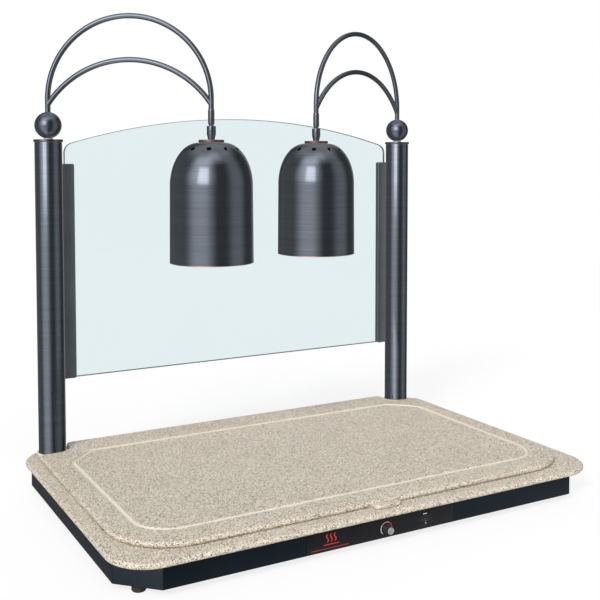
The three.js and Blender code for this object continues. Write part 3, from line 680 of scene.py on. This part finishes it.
def make_panel():
    low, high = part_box("control_panel")
    mid = middle("switch_housing")
    outline = box_outline(low.x, high.x, low.z, high.z, 0.003)
    holes = [circle(KNOB[0], KNOB[2], 0.0053), box_about(mid, 0.0118, 0.0065, 0.001, 6)]
    plate_piece("panel_overlay_piece", outline, round_edge(0.0003, low.y, high.y, 2), upright,
                [OVERLAY], "base", ["control_panel"], "panel", holes=holes)
    bm = bmesh.new()
    y = low.y
    for k in range(3):  # three rising heat waves
        x0 = -0.121 + 0.007 * k
        wave = [(x0 + 0.0016 * math.sin(2 * math.pi * t / 12), 0.0275 + 0.0125 * t / 12) for t in range(13)]
        ribbon(bm, wave, 0.0017, y)
    ribbon(bm, [(-0.128, 0.0235), (-0.100, 0.0235)], 0.0012, y)
    ribbon(bm, [(-0.150, 0.0175), (-0.082, 0.0175)], 0.0007, y)
    turn = [math.radians(225 - 27 * i) for i in range(11)]
    for k in range(10):  # the dial's scale, rising from white to red
        shade = 2 if k < 3 else (1 if k < 6 else 0)
        points = [(KNOB[0] + 0.0105 * math.cos(turn[k] + (turn[k + 1] - turn[k]) * t / 4),
                   KNOB[2] + 0.0105 * math.sin(turn[k] + (turn[k + 1] - turn[k]) * t / 4)) for t in range(5)]
        ribbon(bm, points, 0.0008 + 0.00007 * k, y, material=shade)
    ribbon(bm, [(mid.x - 0.004, 0.0375), (mid.x + 0.004, 0.0375)], 0.0009, y, material=2)
    finish_mesh("panel_marks", bm, [INK_RED, INK_ROSE, INK_WHITE], "base")


def make_knob():
    low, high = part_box("control_knob")
    length = (high.y - low.y) * 1000
    levels = [(4.9, 0.0), (6.7, 0.0), (7.0, 0.35), (6.85, 3.0),
              (6.55, length - 1.4), (6.3, length - 0.5), (5.9, length)]
    bm = bmesh.new()
    loops = []
    segments = 96
    for r, h in levels:
        depth = 0.32 if 0.3 < h < length - 0.6 else 0.1
        ring = []
        for i in range(segments):
            a = 2 * math.pi * i / segments
            radius = (r - depth * (0.5 - 0.5 * math.cos(16 * a)) ** 2) * MM
            ring.append((radius * math.cos(a), radius * math.sin(a), -h * MM))
        loops.append(add_loop(bm, ring))
    inner = add_loop(bm, [(v.co.x * 0.9, v.co.y * 0.9, v.co.z) for v in loops[0]])
    deep = add_loop(bm, [(v.co.x * 0.9, v.co.y * 0.9, v.co.z - 0.0014) for v in loops[0]])
    skin(bm, [deep, inner] + loops)
    fill(bm, deep)
    fill(bm, loops[-1])
    turn_about(bm, KNOB[0], high.y, KNOB[2])
    finish_mesh("knob_grip", bm, [PLASTIC], "thermostat_knob", ["control_knob"], angle=40)
    cap_low, cap_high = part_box("knob_cap")
    thick = (cap_high.y - cap_low.y) * 1000
    dish = 0.25 - thick
    profile = [(0, 0), (5.6, 0), (5.6, -thick), (4.6, -thick), (4.3, dish), (0, dish)]
    profile = fillet(profile, [0, 0.1, 0.35, 0.1, 0.1, 0], 3)
    bm = bmesh.new()
    lathe(bm, profile, segments=64)
    turn_about(bm, KNOB[0], cap_high.y, KNOB[2])
    finish_mesh("knob_cap_piece", bm, [BRIGHT], "thermostat_knob", ["knob_cap"])
    a = math.radians(225)
    bm = bmesh.new()
    y = cap_low.y + 0.00024
    reach = [(KNOB[0] + r * math.cos(a), KNOB[2] + r * math.sin(a)) for r in (0.0008, 0.0041)]
    ribbon(bm, reach, 0.0008, y, raised=0.0001)
    finish_mesh("knob_pointer", bm, [INK_RED], "thermostat_knob")


def make_switch():
    low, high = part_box("switch_housing")
    mid = (low + high) / 2
    face = high.y - 0.0258  # the bezel's front
    shoulder = face + 0.0018
    well = box_about(mid, 0.0099, 0.005, 0.0006)
    bezel = box_outline(low.x, high.x, low.z, high.z, 0.0016, 5)
    plate_piece("switch_bezel", bezel, round_edge(0.0006, face, shoulder, 3), upright,
                [PLASTIC], "base", ["switch_housing"], "black_plastic", holes=[well])
    bm = bmesh.new()
    body = box_about(mid, 0.0115, 0.0062, 0.0006)
    loops = [add_loop(bm, [(x, y, z) for x, z in body]) for y in (shoulder, high.y)]
    shelf = [add_loop(bm, [(x, y, z) for x, z in well]) for y in (shoulder, shoulder + 0.007)]
    skin(bm, loops)
    skin(bm, shelf)
    fill(bm, loops[0], shelf[0])
    fill(bm, loops[1])
    fill(bm, shelf[1])
    finish_mesh("switch_body", bm, [PLASTIC], "base", ["switch_housing"])


def make_rocker():
    """A paddle with a shallow V face, its edges rounded, leaning about the joint's pivot."""
    pivot = Vector(ROCKER["pos_m"])
    side = [(-4.2, -3.0), (-2.1, -2.45), (0, -2.2), (2.1, -2.45), (4.2, -3.0), (4.2, 1.0), (-4.2, 1.0)]
    bm = bmesh.new()
    ends = [add_loop(bm, [(x, y * MM, z * MM) for z, y in side]) for x in (-0.0096, 0.0096)]
    skin(bm, ends)
    bm.faces.new(ends[0])
    bm.faces.new(list(reversed(ends[1])))
    sharp = [e for e in bm.edges if e.is_manifold and e.calc_face_angle(0.0) > 0.6]
    bmesh.ops.bevel(bm, geom=sharp, offset=0.0005, segments=3, affect="EDGES", profile=0.5)
    lean = Matrix.Translation(pivot) @ Matrix.Rotation(math.radians(8), 4, "X")
    bmesh.ops.transform(bm, matrix=lean, verts=bm.verts)
    finish_mesh("rocker_paddle", bm, [PLASTIC], "rocker", ["switch_rocker"], angle=40)
    bm = bmesh.new()
    ribbon(bm, [(0.0, 0.0012), (0.0, 0.0032)], 0.0005, 0.0, material=0)
    ring = [(0.00095 * math.cos(a), -0.0023 + 0.00095 * math.sin(a))
            for a in (2 * math.pi * i / 24 for i in range(25))]
    ribbon(bm, ring, 0.0004, 0.0)
    for vert in bm.verts:  # drape both marks on the V face
        vert.co.y += -0.00222 - abs(vert.co.z) * 0.19
    bmesh.ops.transform(bm, matrix=lean, verts=bm.verts)
    finish_mesh("rocker_marks", bm, [INK_WHITE], "rocker")


def make_gland():
    low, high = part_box("cable_gland")
    x, _, z = middle("cable_gland")
    length = (high.y - low.y) * 1000
    profile = [(4.5, 0), (7, 0), (7, 8), (8.6, 8.2), (8.6, 12.4), (9, 12.6), (9, 20),
               (7.6, length - 3), (7, length), (4.5, length)]
    bm = bmesh.new()
    lathe(bm, fillet(profile + [profile[0]], 0.5, 3)[:-1], segments=64, closed=True)
    turn_about(bm, x, low.y, z)
    finish_mesh("gland_body", bm, [PLASTIC], "base", ["cable_gland"])
    hexagon = fillet(circle(x, z, 0.012, 6), 0.001, 3, closed=True)
    start = low.y + 0.0083
    plate_piece("gland_nut", hexagon, round_edge(0.0007, start, start + 0.004, 3), upright,
                [PLASTIC], "base", ["cable_gland"], "black_plastic", holes=[circle(x, z, 0.0085)])


# ---- posts, caps and the guard -------------------------------------------------------------------
def post_centre(side):
    return ((-POST_X if side == "left" else POST_X), POST_Y)


def make_post(side):
    centre = post_centre(side)
    node = f"post_{side}"
    profile = fillet(ring_profile(23.4, 25.4, *heights(node)), 0.4, 3)[:-1]
    turned_piece(node, profile, [BRONZE], "base", "bronze_metal", centre, 128, closed=True)
    node = f"post_seal_{side}"
    profile = fillet(ring_profile(25.6, 29.4, *heights(node)), [0, 0.3, 1.6, 0.5, 0], 5)[:-1]
    turned_piece(node, profile, [CREAM], "base", "seal_stone", centre, 96, closed=True)
    node = f"post_cap_{side}"
    plug, z1 = heights(node)
    z0 = plug + 16
    profile = [(5.3, plug), (23.1, plug), (23.1, z0), (27.3, z0), (27.3, z1), (5.3, z1), (5.3, plug)]

    def copper_line(a, b):
        lower, upper = sorted((a[1], b[1]))
        return 1 if min(a[0], b[0]) > 26.4 and (upper < z0 + 1.0 or lower > z1 - 1.0) else 0
    profile = fillet(profile, [0, 0.4, 0.2, 0.8, 0.8, 0.3, 0], 4)[:-1]
    finish = [BRONZE_TUBE, COPPER]
    turned_piece(node, profile, finish, "base", "bronze_metal", centre, 96, closed=True, spans=copper_line)


def make_glass():
    low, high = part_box("glass_guard")
    crown, corner = 1.253, 0.020
    centre_z = high.z - crown
    corner_x = high.x - corner
    corner_z = centre_z + math.sqrt((crown - corner) ** 2 - corner_x ** 2)
    meet = math.degrees(math.atan2(corner_z - centre_z, corner_x))
    right = fillet([(0.0, low.z), (high.x, low.z), (high.x, corner_z)], 0.003, 4)[1:-1]
    right += arc(corner_x, corner_z, corner, 0, meet, 12)
    right += arc(0.0, centre_z, crown, meet, 90 - meet, 36)[1:-1]
    outline = right + [(0.0, high.z)] + [(-x, z) for x, z in reversed(right)]
    plate_piece("glass_pane", outline, round_edge(0.0013, low.y, high.y, 2), upright,
                [GLASS, GLASS_EDGE], "base", ["glass_guard"], "guard_glass", material=(0, 1))


def make_channel(side):
    """A U that holds the glass, its coating rubbed down to copper along the corner beside the post."""
    sign = -1 if side == "left" else 1
    node = f"glass_channel_{side}"
    low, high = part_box(node)
    inner, back = sorted((low.x, high.x), key=abs)
    corners = [(low.x, low.z), (high.x, low.z), (high.x, high.z), (low.x, high.z)]
    radii = [0.001 if x == back else 0.004 for x, _ in corners]
    outline = fillet(corners, radii, 6, closed=True)
    body = plate_piece(f"{node}_piece", outline, round_edge(0.0009, low.y, high.y, 3), upright,
                       [CHANNEL_COAT], "base", [node], "black_steel")
    play = 0.0003
    gasket_low, gasket_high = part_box(f"glass_gasket_{side}")
    end = max(abs(gasket_low.x), abs(gasket_high.x)) + play
    x0, x1 = sorted((sign * end, inner - sign * 0.01))
    past = 0.01
    slot = ((x0, gasket_low.y - play, low.z - past), (x1, gasket_high.y + play, high.z + past))
    cut_with(body, box_tool(*slot))
    body.data.set_sharp_from_angle(angle=math.radians(32))
    x0, x1 = sorted((back - sign * 0.0022, back - sign * 0.0010))
    strip = box_outline(x0, x1, low.z + 0.003, high.z - 0.006, 0.0004, 3)
    plate_piece(f"{node}_trim", strip, round_edge(0.0002, low.y - play, low.y + 0.0006, 2), upright,
                [COPPER], "base", slot="copper_metal")


def make_gasket(side):
    """A rubber U that grips the glass's edge, as tall as the channel."""
    sign = -1 if side == "left" else 1
    node = f"glass_gasket_{side}"
    low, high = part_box(node)
    mouth, back = sorted((low.x, high.x), key=abs)
    wall = 0.0006
    outline = [(mouth, low.y), (back, low.y), (back, high.y), (mouth, high.y), (mouth, high.y - wall),
               (back - sign * wall, high.y - wall), (back - sign * wall, low.y + wall), (mouth, low.y + wall)]
    if side == "left":
        outline = list(reversed(outline))
    plate_piece(f"{node}_piece", outline, round_edge(0.0001, low.z, high.z, 1), flat,
                [RUBBER], "base", [node], "rubber")


# ---- arms and lamps ------------------------------------------------------------------------------
PIVOT = JOINTS["left_lamp_tilt"]["pos_m"][2] * 1000  # height of the knuckle's ball, millimetres
ARCH_RADIUS = 0.00505
ARCH_RISE = 0.083  # of the inner arch, from its ends to its crown


def arm_frame(side):
    """The post's axis, and the level direction from it to the lamp's."""
    post = Vector((*post_centre(side), 0.0))
    lamp = Vector(JOINTS[f"{side}_lamp_tilt"]["pos_m"])
    lamp.z = 0.0
    return post, (lamp - post).normalized(), (lamp - post).length, lamp


def make_arches(side):
    """Two round bars: legs joined by half a circle, and under it one shallow arc from leg to leg."""
    post, along, span, lamp = arm_frame(side)
    low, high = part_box(f"outer_arch_{side}")
    half = span / 2
    spring = high.z - ARCH_RADIUS - half
    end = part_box(f"arm_sleeve_{side}")[1].z - 0.0005
    start = low.z - 0.0008
    under_crown = post + along * half
    path = [post + Vector((0, 0, start + (spring - start) * i / 6)) for i in range(6)]
    path += [under_crown + along * (-half * math.cos(a)) + Vector((0, 0, spring + half * math.sin(a)))
             for a in (math.pi * i / 96 for i in range(97))]
    path += [lamp + Vector((0, 0, spring + (end - spring) * i / 6)) for i in range(1, 7)]
    paths = {"outer_arch": path}
    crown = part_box(f"inner_arch_{side}")[1].z - ARCH_RADIUS
    curve = (half ** 2 + ARCH_RISE ** 2) / (2 * ARCH_RISE)
    spread = math.asin(half / curve) - 0.012  # the ends stay inside the outer tube
    paths["inner_arch"] = [
        under_crown + along * (curve * math.sin(a)) + Vector((0, 0, crown - curve + curve * math.cos(a)))
        for a in (spread * (i / 40 - 1) for i in range(81))]
    for name, path in paths.items():
        bm = bmesh.new()
        tube(bm, path, ARCH_RADIUS, 24)
        node = f"{name}_{side}"
        finish_mesh(f"{node}_piece", bm, [BRONZE_TUBE], f"{side}_arm", [node])


def make_arm(side):
    post, *_, lamp = arm_frame(side)
    body = f"{side}_arm"
    make_arches(side)
    node = f"ball_{side}"
    z0, z1 = heights(node)
    tilt = 73.7  # degrees above and below the middle, where the flats begin
    round_side = arc(0, (z0 + z1) / 2, 25.0, -tilt, 2 * tilt, 40)
    profile = fillet([(0, z0)] + round_side + [(0, z1)], [0, 1.0] + [0] * 39 + [1.0, 0], 3)
    turned_piece(node, profile, [BRONZE_BALL], body, "bronze_metal", post.xy, 96)
    node = f"swivel_washer_{side}"
    profile = fillet(ring_profile(5.3, 9, *heights(node)), 0.5, 4)[:-1]
    turned_piece(node, profile, [CREAM], body, "seal_stone", post.xy, closed=True)
    node = f"arm_sleeve_{side}"
    z0, z1 = heights(node)
    shelf = z0 + 1.8
    profile = [(0, z0), (4.4, z0), (4.4, shelf), (5.0, shelf), (6, z0 + 5), (6, z1 - 4), (5.2, z1), (0, z1)]
    profile = fillet(profile, [0, 0.2, 0.2, 0.4, 1.2, 1.2, 0.3, 0], 4)
    turned_piece(node, profile, [BRONZE_TUBE], body, "bronze_metal", lamp.xy)
    make_collar(side, lamp)


def make_collar(side, lamp):
    """The seat round the knuckle's ball, with a lip that is part of a sphere about the ball's centre."""
    node = f"knuckle_collar_{side}"
    top = heights(node)[1]
    radius, lip = 8.5, 8.8
    seat = [(max(x, 0.0), z) for x, z in arc(0, PIVOT, 6.2, 90, -130, 14)]
    under = arc(0, PIVOT, lip, -40, 40 - math.degrees(math.acos(radius / lip)), 8)
    side_wall = [(radius, under[-1][1] + 0.7)] + fillet([under[-1], (radius, top), (0, top)], 1.0, 4)[1:]

    def copper_line(a, b):
        return 1 if min(a[0], b[0]) > 8.3 and max(a[1], b[1]) < under[-1][1] + 0.9 else 0
    profile = seat + under + side_wall
    finish = [BRONZE_TUBE, COPPER]
    turned_piece(node, profile, finish, f"{side}_arm", "bronze_metal", lamp.xy, 72, spans=copper_line)


# The bell in millimetres: the flat on its crown, its radius at the shoulder, the dome's height, the wall.
CROWN, SHOULDER, DOME, WALL = 24.0, 77.2, 81.0, 1.4
REACH = SHOULDER - CROWN
VENT_COUNT, VENT_RADIUS, VENT_RING, VENT_DROP, VENT_LEAN = 10, 4.5, 51.0, 12.0, 33
VENT_TURN = {"left": 22, "right": 32}  # degrees from the arm to the first vent


def bell_normal(co, centre, top):
    """The bell's outward normal at a point, from its plan centre and the height of its crown."""
    level = Vector((co.x - centre[0], co.y - centre[1]))
    r, z = level.length * 1000, co.z * 1000
    out, up = 1.0, 0.0
    if z >= top - DOME:
        x, y = max(r - CROWN, 0.0) / REACH, (z - (top - DOME)) / DOME
        out, up = Vector((x / REACH, y / DOME)).normalized() if x + y > 0 else (0.0, 1.0)
    level /= max(level.length, 1e-6)
    return Vector((level.x * out, level.y * out, up))


def vent_tools(side, centre, top):
    """Leaning pegs round the crown, for cutting the vents."""
    along = arm_frame(side)[1]
    turn = math.atan2(along.y, along.x) + math.radians(VENT_TURN[side])
    tools = []
    for i in range(VENT_COUNT):
        bm = bmesh.new()
        lathe(bm, [(0, -14), (VENT_RADIUS, -14), (VENT_RADIUS, 14), (0, 14)], segments=40)
        matrix = (Matrix.Translation((*centre, (top - VENT_DROP) * MM))
                  @ Matrix.Rotation(turn + 2 * math.pi * i / VENT_COUNT, 4, "Z")
                  @ Matrix.Translation((VENT_RING * MM, 0, 0))
                  @ Matrix.Rotation(math.radians(VENT_LEAN), 4, "Y"))
        bmesh.ops.transform(bm, matrix=matrix, verts=bm.verts)
        tools.append(tool_solid(bm))
    return tools


def make_shade(side):
    node = f"lamp_shade_{side}"
    centre = arm_frame(side)[3].xy
    rim, top = heights(node)
    spring = top - DOME
    dome = [math.pi / 2 * i / 48 for i in range(49)]
    outer = [(CROWN + REACH * math.sin(a), spring + DOME * math.cos(a)) for a in reversed(dome)]
    flank = [(78.2 - i / 24, rim + 1.2 + (spring - rim - 1.2) * i / 24) for i in range(24)]
    inner = [(CROWN + (REACH - WALL) * math.sin(a), spring + (DOME - WALL) * math.cos(a)) for a in dome]
    hole = [(16, top), (7, top), (7, top - WALL), (16, top - WALL)]
    lip = [(76.8, rim + 2), (76.9, rim + 0.5), (77.2, rim), (77.9, rim), (78.5, rim + 0.4)]

    def part(a, b):
        """1 on the copper lip, 2 inside the bell, painted near-black as shade, and 0 outside."""
        r, z = (a[0] + b[0]) / 2, (a[1] + b[1]) / 2
        if z < rim + 2.6:
            return 1
        if z < spring:
            return 2 if r < 77.0 else 0
        middle_r = CROWN + (REACH - WALL / 2) * math.sin(math.acos(min(1.0, (z - spring) / DOME)))
        return 2 if z < top - WALL / 2 and r < middle_r else 0
    bm = bmesh.new()
    lathe(bm, flank + outer + hole + inner + lip, centre, 288, closed=True, spans=part)
    finish = [BRONZE, COPPER_EDGE, BELL_INSIDE_PAINTED_SHADE]
    shell = finish_mesh(f"{node}_piece", bm, finish, f"{side}_lamp", [node])
    cut_with(shell, *vent_tools(side, centre, top))
    mesh = shell.data
    mesh.set_sharp_from_angle(angle=math.radians(32))
    normals = []
    for polygon in mesh.polygons:
        middle_point = polygon.center
        facing = abs(bell_normal(middle_point, centre, top).dot(polygon.normal))
        from_axis = (middle_point.xy - centre).length
        if middle_point.z > (top - 60) * MM and facing < 0.8 and from_axis > 0.02:
            polygon.material_index = 2  # the wall of a vent, painted near-black as shade
        for index in polygon.vertices:
            smooth = bell_normal(mesh.vertices[index].co, centre, top)
            facing = smooth.dot(polygon.normal)
            if abs(facing) > 0.96:
                normals.append(smooth if facing > 0 else -smooth)
            else:
                normals.append(polygon.normal.copy())
    mesh.normals_split_custom_set([tuple(n) for n in normals])


def make_knuckle(side, centre):
    """A ball on a neck, a cup that turns under the collar's lip, and a taper down to the disk."""
    node = f"knuckle_ball_{side}"
    foot = heights(node)[0]
    ball, neck, cup, radius, band = 5.9, 3.0, 9.1, 8.5, 664.5
    start = math.degrees(math.acos(neck / ball))
    inner, outer = math.degrees(math.acos(neck / cup)), math.degrees(math.acos(radius / cup))
    bowl = arc(0, PIVOT, cup, -outer, outer - inner, 12)
    stand = [(0, foot), (6.3, foot), (6.3, foot + 1.0), (radius, band), bowl[0]]
    sphere = [(max(x, 0.0), z) for x, z in arc(0, PIVOT, ball, -start, 90 + start, 16)]
    profile = fillet(stand, [0, 0.3, 0.3, 1.0, 0], 4) + bowl[1:] + sphere
    turned_piece(node, profile, [BRONZE_TUBE], f"{side}_lamp", "bronze_metal", centre, 72)


def make_lamp(side):
    centre = arm_frame(side)[3].xy
    body = f"{side}_lamp"
    make_shade(side)
    node = f"shade_disk_{side}"
    z0, z1 = heights(node)
    profile = fillet([(0, z0), (23.2, z0), (23.9, z0 + 0.8), (23.9, z1), (0, z1)], [0, 0.3, 0.3, 1.6, 0], 5)
    turned_piece(node, profile, [COPPER], body, "copper_metal", centre, 96)
    make_knuckle(side, centre)
    node = f"lamp_socket_{side}"
    low, top = heights(node)
    profile = [(0, top - 10), (14.5, top - 10), (14.5, low), (20, low), (20, top - 4), (16, top), (0, top)]
    profile = fillet(profile, [0, 0.5, 0.8, 0.8, 1.5, 1.5, 0], 4)
    # the socket takes the near-black painted shade
    turned_piece(node, profile, [SOCKET_PAINTED_SHADE], body, "porcelain", centre)
    make_bulb(side, centre)


def make_bulb(side, centre):
    """A reflector bulb: a frosted domed face, then a flare and a cap painted near-black as the shade inside
    the lamp.
    """
    node = f"heat_bulb_{side}"
    z0, top = heights(node)
    radius, face, cap = 63.5, 32.0, 13.0

    def shell(d):
        turn = [math.pi / 2 * i / 16 for i in range(17)]
        front = [((radius - d) * math.sin(a), z0 + face - (face - d) * math.cos(a)) for a in turn]
        flare = [(radius * share - d, z0 + z) for share, z in ((0.97, 45), (0.72, 80), (0.42, 108))]
        throat = [(cap + 3 - d, z0 + 128), (cap - d, z0 + 132), (cap - d, top)]
        return front + fillet([front[-1]] + flare + throat, 30, 8)[1:]

    def part(a, b):
        return 0 if (a[1] + b[1]) / 2 < z0 + face + 2 else 1
    profile = shell(0) + list(reversed(shell(1.5)))
    turned_piece(node, profile, [BULB_GLASS, BULB_PAINTED_SHADE], f"{side}_lamp", "bulb_glass", centre, 72, spans=part)


# ---- the stage -----------------------------------------------------------------------------------
VIEW_LEVEL = (-0.48972, -0.87024)  # level direction from the object towards the viewer
FLOOR_LIFT = 0.826  # keeps the open floor at full white


def make_floor():
    bm = bmesh.new()
    loop = add_loop(bm, [(x, y, 0.0) for x, y in circle(0.0, 0.4, 4.2, 96)])
    bm.faces.new(loop)
    s = Shader("pale_floor", Roughness=0.9)
    s.bsdf.inputs["Specular IOR Level"].default_value = 0.0
    s.colour(s.mix(s.noise(s.place(), 1.2, 2.0), (0.155, 0.155, 0.155), (0.165, 0.165, 0.165)))
    s.bsdf.inputs["Emission Color"].default_value = (1.0, 1.0, 1.0, 1.0)
    s.bsdf.inputs["Emission Strength"].default_value = FLOOR_LIFT
    seen = s.node("ShaderNodeLightPath")
    join = s.node("ShaderNodeMixShader")
    s.link(seen.outputs["Is Glossy Ray"], join.inputs[0])
    s.link(s.bsdf.outputs[0], join.inputs[1])
    s.link(s.node("ShaderNodeBsdfTransparent").outputs[0], join.inputs[2])
    s.link(join.outputs[0], s.tree.nodes["Material Output"].inputs["Surface"])
    finish_mesh("floor", bm, [s.material], None)


# Soft boxes of the studio as (from, to, softness) in azimuth and in height, degrees, then strength.
# Azimuth 0 is behind the viewer and 90 on the viewer's right.
SOFT_BOXES = (
    ((-57, 3, 22), (-90, 62, 14), 0.78),
    ((-60, 6, 22), (5, 52, 9), 0.50),
    ((-33, -3, 5), (4, 34, 4), 1.7),
    ((-16, 46, 24), (50, 74, 14), 0.55),
    ((58, 101, 16), (-90, 50, 20), 0.30),
    ((-135, -70, 14), (-90, 60, 20), 0.11),
    ((-200, 200, 5), (50, 100, 16), 0.48),
    ((152, 200, 8), (-90, 60, 14), 0.22),
    ((-200, -166, 8), (-90, 60, 14), 0.22),
)
BLACK_LEVEL = 0.115  # what a mirror sees between the soft boxes
AMBIENT = 0.36  # the even light on matt surfaces
BOX_TINT = (1.07, 1.0, 1.05)


def make_world():
    """White to the eye, an even grey for matt surfaces, and a dark studio with soft boxes in reflections."""
    world = bpy.data.worlds.new("studio")
    bpy.context.scene.world = world
    world.use_nodes = True
    world.cycles.sampling_method = "NONE"
    tree = world.node_tree
    tree.nodes.clear()

    def node(kind, **settings):
        made = tree.nodes.new(kind)
        for key, value in settings.items():
            setattr(made, key, value)
        return made

    def calc(operation, a, b=0.0):
        made = node("ShaderNodeMath", operation=operation)
        for slot, value in zip(made.inputs, (a, b)):
            if isinstance(value, (int, float)):
                slot.default_value = value
            else:
                tree.links.new(value, slot)
        return made.outputs["Value"]

    def band(value, low, high, soft):
        rise = node("ShaderNodeMapRange", interpolation_type="SMOOTHSTEP")
        drop = node("ShaderNodeMapRange", interpolation_type="SMOOTHSTEP")
        for made, a, b in ((rise, low - soft, low + soft), (drop, high + soft, high - soft)):
            made.inputs["From Min"].default_value = a
            made.inputs["From Max"].default_value = b
            tree.links.new(value, made.inputs["Value"])
        return calc("MULTIPLY", rise.outputs["Result"], drop.outputs["Result"])
    coords = node("ShaderNodeTexCoord")
    split = node("ShaderNodeSeparateXYZ")
    tree.links.new(coords.outputs["Generated"], split.inputs["Vector"])
    x, y, z = split.outputs
    cx, cy = VIEW_LEVEL
    ahead = calc("ADD", calc("MULTIPLY", x, cx), calc("MULTIPLY", y, cy))
    right = calc("ADD", calc("MULTIPLY", x, -cy), calc("MULTIPLY", y, cx))
    azimuth = calc("MULTIPLY", calc("ARCTAN2", right, ahead), 180 / math.pi)
    height = calc("MULTIPLY", calc("ARCSINE", z), 180 / math.pi)
    pattern = BLACK_LEVEL
    for around, up, strength in SOFT_BOXES:
        lit = calc("MULTIPLY", band(azimuth, *around), band(height, *up))
        pattern = calc("ADD", pattern, calc("MULTIPLY", lit, strength))
    seen = node("ShaderNodeLightPath")
    matt = calc("MULTIPLY", seen.outputs["Is Diffuse Ray"], AMBIENT)
    gloss = calc("MULTIPLY", seen.outputs["Is Glossy Ray"], pattern)
    either = calc("MAXIMUM", seen.outputs["Is Diffuse Ray"], seen.outputs["Is Glossy Ray"])
    plain = calc("SUBTRACT", 1.0, either)
    background = node("ShaderNodeBackground")
    tint = node("ShaderNodeMix", data_type="RGBA")
    share = calc("MULTIPLY", seen.outputs["Is Glossy Ray"], calc("MINIMUM", pattern, 1.0))
    tree.links.new(share, tint.inputs[0])
    tint.inputs[6].default_value = (1.0, 1.0, 1.0, 1.0)
    tint.inputs[7].default_value = (*BOX_TINT, 1.0)
    tree.links.new(tint.outputs[2], background.inputs["Color"])
    tree.links.new(calc("ADD", calc("ADD", matt, gloss), plain), background.inputs["Strength"])
    out = node("ShaderNodeOutputWorld")
    tree.links.new(background.outputs["Background"], out.inputs["Surface"])


def sun(name, energy, azimuth, height, spread):
    light = bpy.data.lights.new(name, "SUN")
    light.energy = energy
    light.angle = math.radians(spread)
    obj = bpy.data.objects.new(name, light)
    obj.visible_glossy = False
    a, e = math.radians(azimuth), math.radians(height)
    towards = Vector((math.cos(a) * math.cos(e), math.sin(a) * math.cos(e), math.sin(e)))
    obj.rotation_euler = towards.to_track_quat("Z", "Y").to_euler()
    bpy.context.scene.collection.objects.link(obj)


def make_camera():
    data = bpy.data.cameras.new("camera")
    data.lens = 57.2
    data.sensor_width = 36.0
    data.shift_y = -0.158
    data.clip_start = 0.05
    camera = bpy.data.objects.new("camera", data)
    camera.location = (-0.86711, -1.53573, 0.62718)
    camera.rotation_euler = (math.radians(90 - 3.06), 0.0, math.radians(-29.37))
    bpy.context.scene.collection.objects.link(camera)
    bpy.context.scene.camera = camera


# ---- assembly ------------------------------------------------------------------------------------
make_camera()
make_world()
make_floor()
sun("key", 2.1, 215, 36, 18)
sun("front", 1.15, 255, 48, 40)
sun("rear", 0.5, 60, 30, 50)
bpy.context.scene.view_settings.view_transform = "Standard"
make_slab()
make_board()
make_housing()
make_cover()
make_feet()
make_panel()
make_knob()
make_switch()
make_rocker()
make_gland()
make_glass()
for name in SIDES:
    make_post(name)
    make_channel(name)
    make_gasket(name)
    make_arm(name)
    make_lamp(name)
    for piece in ("post_mount", "post_nut", "swivel_stem"):
        dress(f"{piece}_{name}", STEEL)
dress("heating_blanket", FOIL)
dress("insulation_board", WOOL)
dress("terminal_block", PORCELAIN)
dress("thermostat_body", STEEL)
dress("knob_shaft", STEEL)
